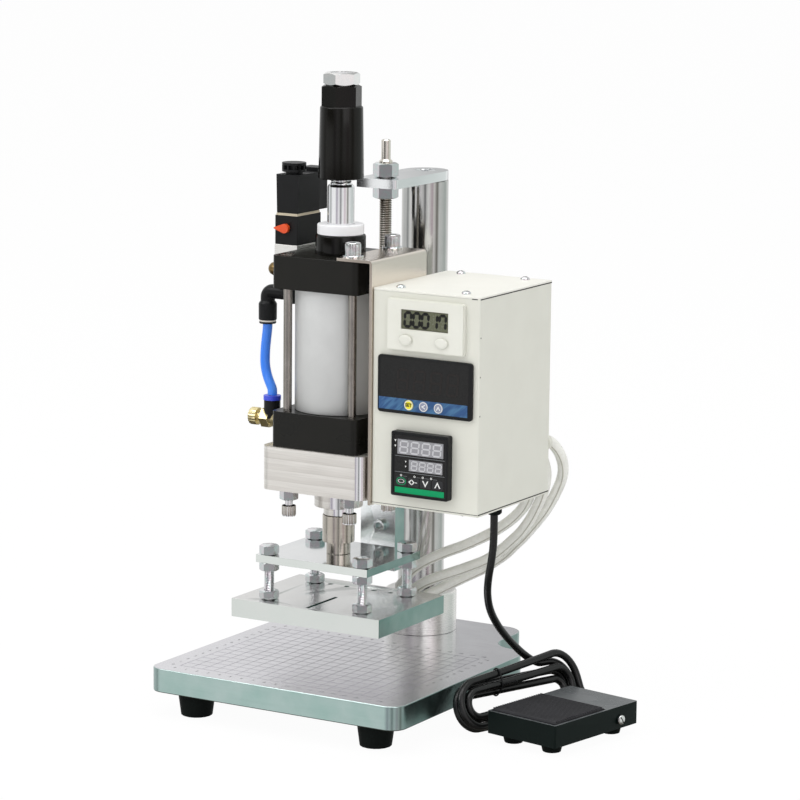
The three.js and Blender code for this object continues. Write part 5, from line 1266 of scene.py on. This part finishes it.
KEY_LEVEL = -83.8
KEY_RADIUS = 3.75
key_places = []
for key, slot in (("set", "yellow_plastic"), ("shift", "grey_plastic"), ("up", "grey_plastic")):
    node = "meter_key_" + key
    low, middle, _ = spans(node)
    spot = (middle.x, low.y, middle.z, FRONT)
    key_places.append(middle.x - BOX_LEFT)
    cap_piece = spun([(2.2, -1.2), (KEY_RADIUS, -1.2), (KEY_RADIUS, -0.25), (3.5, -0.05), (0.2, 0.0)], 48)
    piece("key_cap_" + key, moved(cap_piece, *spot), slot, node, (node,))
    if key == "set":
        ink, mark = INK_BLACK, words([("SET", 0, 0)], 3.5, FILM, bold=0.13)
    else:
        ink, mark = INK_WHITE, chevron(0, 0, 3.0, 0.26, pi / 2 if key == "shift" else 0.0)
    piece("key_ring_" + key, moved(annulus(2.95, 3.5, 0.0, FILM, 48), *spot), slot, node, finish=INK_WHITE)
    piece("key_mark_" + key, moved(mark, *spot), slot, node, finish=ink)
band = pierced(7.1, 81.7, KEY_LEVEL, 4.45, key_places, KEY_RADIUS + 0.15, 0.14)
on_front("meter_band", band, METER_FACE, BLUE_BAND)

# Temperature controller: two unlit displays, four keys and a green foot line
dressed("temperature_controller", "black_plastic", 0.6)
CONTROLLER_FACE = PANEL_Y - 5.9
rules = joined(
    strip(23.4, -121.5, 65.4, -121.1, 0, FILM),
    strip(23.4, -133.4, 65.4, -133.0, 0, FILM),
    *(strip(x, -136.2, x + 3.4, -135.9, 0, FILM) for x in (30.4, 41.8, 48.8, 55.8)),
)
caps = joined(*(pane(9.0, 6.6, 0.8, x, -140.0, 0.12) for x in (28.9, 39.1, 49.3, 59.5)))
icons = joined(
    chevron(49.3, -140.0, 4.3, 0.24, pi),
    chevron(59.5, -140.0, 4.3, 0.24),
    ring_mark(28.9, -139.9, 2.7, 1.4, 0.5),
    flat([(35.0, -140.0), (37.6, -137.8), (37.6, -138.8), (36.2, -140.0), (37.6, -141.2), (37.6, -142.2)]),
    flat([(40.4, -140.0), (37.9, -137.8), (37.9, -138.8), (39.2, -140.0), (37.9, -141.2), (37.9, -142.2)]),
    flat([(40.8, -139.7), (42.4, -139.7), (42.4, -140.3), (40.8, -140.3)]),
    *(ring_mark(x, -135.6, 0.85, 0.8, 0.4) for x in (28.8, 40.2, 47.2, 54.2)),
    *(
        flat([(x - half, y), (x + half, y), (x, y - 2 * half)])
        for x, y, half in ((23.7, -109.4, 0.8), (23.7, -113.4, 0.8), (32.6, -124.6, 0.7), (32.6, -128.2, 0.7))
    ),
)
# each part with its height over the controller's face
for name, part, height, finish in (
    ("controller_face", pane(43.4, 43.4, 0.6, 44.4, -127.1, 0.1), 0.0, SMOKED),
    ("upper_display", pane(38.6, 11.0, 0.3, 44.8, -114.3, 0.12), 0.1, WINDOW_GREY),
    ("lower_display", pane(28.2, 8.4, 0.3, 49.4, -127.6, 0.12), 0.1, WINDOW_GREY),
    ("upper_digits", digits("8888", 27.4, -110.2, 6.3, 8.4, 9.3, 0.1, 1.15, 0.2), 0.22, GHOST_PALE),
    ("lower_digits", digits("8888", 37.2, -124.5, 4.6, 6.3, 6.8, 0.1, 0.85, 0.16), 0.22, GHOST_PALE),
    ("controller_rules", rules, 0.1, INK_GREY),
    ("controller_keys", caps, 0.1, KEY_CAP),
    ("controller_icons", icons, 0.25, INK_WHITE),
    ("first_key_ring", ring_mark(28.9, -140.0, 4.1, 2.9, 0.6), 0.25, INK_GREEN),
    ("green_foot_line", pane(41.6, 4.4, 0.2, 44.3, -146.6, 0.1), 0.1, INK_GREEN),
):
    on_front(name, part, CONTROLLER_FACE - height, finish)


# ---- valve, fittings

dressed("valve_base", "brushed_aluminium", 0.4)
# The pilot's top sheet is its gasket
GASKET_LOW = 374.28
dressed("valve_pilot", "black_plastic", 0.35, zones=((GASKET, between(GASKET_LOW, inf)),))
dressed("valve_coil", "black_plastic", 0.35)
# The cap's grips
GRIPS = 12
GRIP_X = -47.75
GRIP_Y = 10.2
grips = []
for i in range(GRIPS):
    grip = strip(5.8, -0.65, 9.1, 0.65, 408.4, 3.6)
    grips.append(moved(grip, GRIP_X, GRIP_Y, 0, Matrix.Rotation(TURN * i / GRIPS, 4, "Z")))
piece("valve_knob_ribs", joined(*grips), "black_plastic", "head")
dressed("override_lever", "orange_plastic", 0.5)

# Push-in elbow: stud, bent body, wide collet housing, pale ring and black release collar
ELBOW_X = -69.5
ELBOW_Y = 8.0
STUD_X = -48.0
ELBOW_AXIS = 314.3
BEND = 4.6
BEND_STEPS = 12
bend_line = [Vector((STUD_X, ELBOW_Y, ELBOW_AXIS)), Vector((ELBOW_X + BEND + 4.0, ELBOW_Y, ELBOW_AXIS))]
for i in range(BEND_STEPS + 1):
    angle = pi / 2 * i / BEND_STEPS
    across = ELBOW_X + BEND - BEND * sin(angle)
    bend_line.append(Vector((across, ELBOW_Y, ELBOW_AXIS - BEND + BEND * cos(angle))))
bend_line.append(Vector((ELBOW_X, ELBOW_Y, 303.0)))
housing = spun(
    [(5.0, 292.4), (6.6, 292.4), (6.95, 292.8), (7.0, 300.0), (7.0, 304.6), (6.4, 305.8), (5.7, 306.6), (5.0, 308.2)],
    48,
)
stud = joined(
    spun([(5.2, 306.8), (5.6, 307.2), (5.6, 318.6), (5.2, 319.2), (4.6, 319.8)], 32),
    hex_nut(10.9, 316.6, 319.7),
)
elbow = joined(tube(bend_line, 5.5, 32), moved(housing, ELBOW_X, ELBOW_Y), moved(stud, STUD_X, ELBOW_Y))
piece("elbow_body", elbow, "black_plastic", "head", ("elbow_fitting",))
collar = spun([(3.9, 291.0), (6.2, 291.0), (6.3, 291.3), (6.3, 292.3), (3.9, 292.3)], 48)
piece("elbow_ring", moved(collar, ELBOW_X, ELBOW_Y), "black_plastic", "head", finish=PALE_COLLAR)
release = [(3.8, 289.6), (6.2, 289.6), (6.5, 289.9), (6.5, 290.9), (6.2, 291.1), (3.8, 291.1)]
release = moved(spun(release, 48, hollow=True), ELBOW_X, ELBOW_Y)
piece("elbow_release_collar", release, "black_plastic", "head")
# Vent plug: a hexagon and a dome
PLUG = (-37.6, -22.0, 337.0)
plug = joined(
    hex_nut(12.0, 0.0, 3.4),
    spun([(4.0, 3.0), (5.3, 3.3), (5.4, 4.4), (5.2, 6.6), (4.4, 8.7), (3.0, 10.2), (1.4, 10.9), (0.2, 11.0)], 40),
)
piece("vent_plug", moved(plug, *PLUG, ALONG_LESS_X), "brass", "head", ("brass_plug",), AGED_BRASS)

# The flow valve's push-in port is black, with a blue release collar on top
PORT_LOW = 223.6
PORT_HIGH = 232.55
port_zones = (
    (FINISHES["black_plastic"], between(PORT_LOW, PORT_HIGH)),
    (BLUE_COLLAR, between(PORT_HIGH, inf)),
)
dressed("flow_valve", "brass", 0.3, zones=port_zones)
dressed("flow_knob", "brass", 0.25, crease=20)


# ---- foot switch

dressed("pedal_base", "black_rubber", 0.5)
# Its flat top is painted lighter: a painted sheen
dressed("pedal_housing", "black_paint", 0.7, zones=((PAINTED_SHEEN_ENAMEL, lambda _, normal: normal.z > 0.9),))
dressed("pedal_pivot_pin", "zinc_plated_steel", 0.3)
# The foot switch's own frame
PEDAL = Matrix.Translation((184.0, 20.0, 0.0)) @ Matrix.Rotation(radians(-10.5), 4, "Z")
# Ribbed tread: (y, z) of its side with its ribs, then the arm and the barrel on the pivot
TREAD_FRONT = -46.1
TREAD_REAR = 12.1
TREAD_HALF = 29.1
TREAD_TOP = 24.8
RIB_PITCH = 2.6
RIB_HEIGHT = 1.5
TREAD_MM = 3.6
ARM_HALF = 20.0
side = [(TREAD_FRONT, TREAD_TOP - TREAD_MM), (TREAD_FRONT, TREAD_TOP)]
for i in range(int((TREAD_REAR - TREAD_FRONT) / RIB_PITCH)):
    for along, high in ((0.05, 0.0), (0.2, 1.0), (0.48, 1.0), (0.63, 0.0)):
        side.append((TREAD_FRONT + (i + along) * RIB_PITCH, TREAD_TOP + high * RIB_HEIGHT))
side += [(TREAD_REAR, TREAD_TOP), (TREAD_REAR, TREAD_TOP - TREAD_MM)]
tread = lofted([[(x, y, z) for y, z in side] for x in (-TREAD_HALF, TREAD_HALF)])
arm = joined(
    strip(-ARM_HALF, TREAD_REAR - 3.4, ARM_HALF, 25.0, 12.5, 3.0),
    strip(-ARM_HALF, TREAD_REAR - 3.5, ARM_HALF, TREAD_REAR - 0.5, 12.6, 9.0),
    moved(annulus(2.4, 4.0, 0.0, 2 * ARM_HALF, 32), -ARM_HALF, 27.0, 14.0, ALONG_X),
)
tread = moved(joined(tread, arm), turn=PEDAL)
piece("ribbed_tread", tread, "black_rubber", "pedal_tread", ("pedal_tread",), TREAD_RUBBER)
# Slotted dome of the pivot screw, its slot a strip of painted shadow
PIVOT = PEDAL @ Matrix.Translation((34.2, 27.0, 14.0)) @ ALONG_X
dome = spun([(2.0, -0.4), (3.6, 0.0), (3.5, 0.25), (2.6, 0.6), (1.2, 0.8), (0.2, 0.85)], 40)
piece("pivot_screw_dome", moved(dome, turn=PIVOT), "zinc_plated_steel", "stand", finish=NICKEL)
slot_shadow_strip = strip(-2.9, -0.45, 2.9, 0.45, 0.72, 0.16)
slot_turn = PIVOT @ Matrix.Rotation(radians(35), 4, "Z")
piece("pivot_screw_slot", moved(slot_shadow_strip, turn=slot_turn), "zinc_plated_steel", "stand", finish=SHADOW_LINE)


# ---- floor, studio and lamps


# The way out of the tent, to the dark room
ROOM_WAY = (-0.51, -0.86, 0.0)


def studio_tent(tree, vector):
    """What bright metal mirrors: a white tent with soft gaps, by compass direction and height.

    Low down it darkens into the shade under the bench, and to the front left the room above the bench
    is dark.
    """
    parts = add_node(tree, "SeparateXYZ", {"Vector": vector})
    compass = worked(tree, "ARCTAN2", parts.outputs["Y"], parts.outputs["X"])
    share = ranged(tree, compass, 0.0, 1.0, -pi, pi)
    bands = add_node(tree, "ValToRGB", {"Fac": share})
    stops = [
        (0.000, "#dfe1e1"), (0.035, "#e6e7e7"), (0.075, "#a0a4a4"), (0.110, "#ffffff"), (0.200, "#ffffff"),
        (0.245, "#9f98a5"), (0.272, "#f5f2f6"), (0.310, "#dcdcdc"), (0.335, "#6c6c6f"), (0.360, "#e4e4e4"),
        (0.385, "#ffffff"), (0.435, "#cdbcc4"), (0.465, "#f6f4f2"), (0.510, "#76746d"), (0.545, "#eceeed"),
        (0.600, "#dfe4e2"), (0.665, "#c6cecb"), (0.720, "#eef1f0"), (0.775, "#f2f2f2"), (0.802, "#b9bab9"),
        (0.832, "#acadad"), (0.839, "#ededed"), (0.880, "#ffffff"), (1.000, "#dfe1e1"),
    ]
    ramp = bands.color_ramp
    while len(ramp.elements) < len(stops):
        ramp.elements.new(0.5)
    for element, (place, colour) in zip(ramp.elements, stops):
        element.position = place
        element.color = linear(colour)
    height = parts.outputs["Z"]
    low = ranged(tree, height, 1.0, 0.0, -0.55, -0.28)
    toward = add_node(tree, "VectorMath", {0: vector, 1: ROOM_WAY}, operation="DOT_PRODUCT")
    behind = ranged(tree, toward.outputs["Value"], 0.0, 1.0, 0.86, 0.95)
    above = ranged(tree, height, 0.0, 1.0, 0.02, 0.12)
    under = ranged(tree, height, 1.0, 0.0, 0.4, 0.6)
    room = worked(tree, "MULTIPLY", worked(tree, "MULTIPLY", above, under), behind)
    colour = mixed(tree, low, bands.outputs["Color"], "#5b5852")
    return mixed(tree, room, colour, "#1f1e1d")


WORLD_LEVEL = 0.62
world = bpy.data.worlds.new("studio")
bpy.context.scene.world = world
world.use_nodes = True
sky = world.node_tree
sky.nodes.clear()
path = add_node(sky, "LightPath")
direction = add_node(sky, "TexCoord").outputs["Generated"]
plain, white, tent = (
    add_node(sky, "Background", {"Color": colour, "Strength": level}).outputs[0]
    for colour, level in (("#ffffff", WORLD_LEVEL), ("#ffffff", 1.0), (studio_tent(sky, direction), 1.0))
)
mirrored = either(sky, path.outputs["Is Glossy Ray"], plain, tent)
seen = worked(sky, "MAXIMUM", path.outputs["Is Camera Ray"], path.outputs["Is Transmission Ray"])
add_node(sky, "OutputWorld", {"Surface": either(sky, seen, mirrored, white)})

FLOOR_REACH = 14.0
FLOOR_DROP = 0.0004
corners = [(-1, -1), (1, -1), (1, 1), (-1, 1)]
floor_made = bmesh.new()
floor_made.faces.new([floor_made.verts.new((x * FLOOR_REACH, y * FLOOR_REACH, -FLOOR_DROP)) for x, y in corners])
floor_mesh = bpy.data.meshes.new("studio_floor")
floor_made.to_mesh(floor_mesh)
floor_made.free()
floor = add_object("studio_floor", floor_mesh)
# White paper: to the camera it is nearly as white as the backdrop and keeps the object's shadow,
# and bright metal looks past it to the tent.
SHOWN_WHITE = 0.965
paper, tree = new_finish("white_paper")
path = add_node(tree, "LightPath")
fibre = noise(tree, 1.5, 2.0)
lit = add_node(tree, "BsdfDiffuse", {"Color": mixed(tree, fibre, "#f6f6f6", "#fbfbfb")}).outputs[0]
glow = add_node(tree, "Emission", {"Color": "#ffffff", "Strength": 1.0}).outputs[0]
clear = add_node(tree, "BsdfTransparent", {"Color": "#ffffff"}).outputs[0]
shown = either(tree, worked(tree, "MULTIPLY", path.outputs["Is Camera Ray"], SHOWN_WHITE), lit, glow)
surface = either(tree, path.outputs["Is Glossy Ray"], shown, clear)
add_node(tree, "OutputMaterial", {"Surface": surface})
floor_mesh.materials.append(paper)

# (name, place, size, watts): the lamps face the middle of the press
LAMPS = [
    ("front_left_lamp", (-1.9, -2.3, 2.6), 1.8, 31.0),
    ("front_right_lamp", (2.4, -1.6, 1.6), 1.8, 11.0),
    ("top_lamp", (0.1, -0.3, 2.8), 2.2, 42.0),
]
TARGET = Vector((0.0, 0.0, 0.22))
for name, place, size, watts in LAMPS:
    lamp_data = bpy.data.lights.new(name, "AREA")
    lamp_data.shape = "SQUARE"
    lamp_data.size = size
    lamp_data.energy = watts
    lamp = add_object(name, lamp_data)
    lamp.location = place
    lamp.rotation_euler = (TARGET - Vector(place)).to_track_quat("-Z", "Y").to_euler()

bpy.context.scene.view_settings.view_transform = "Standard"
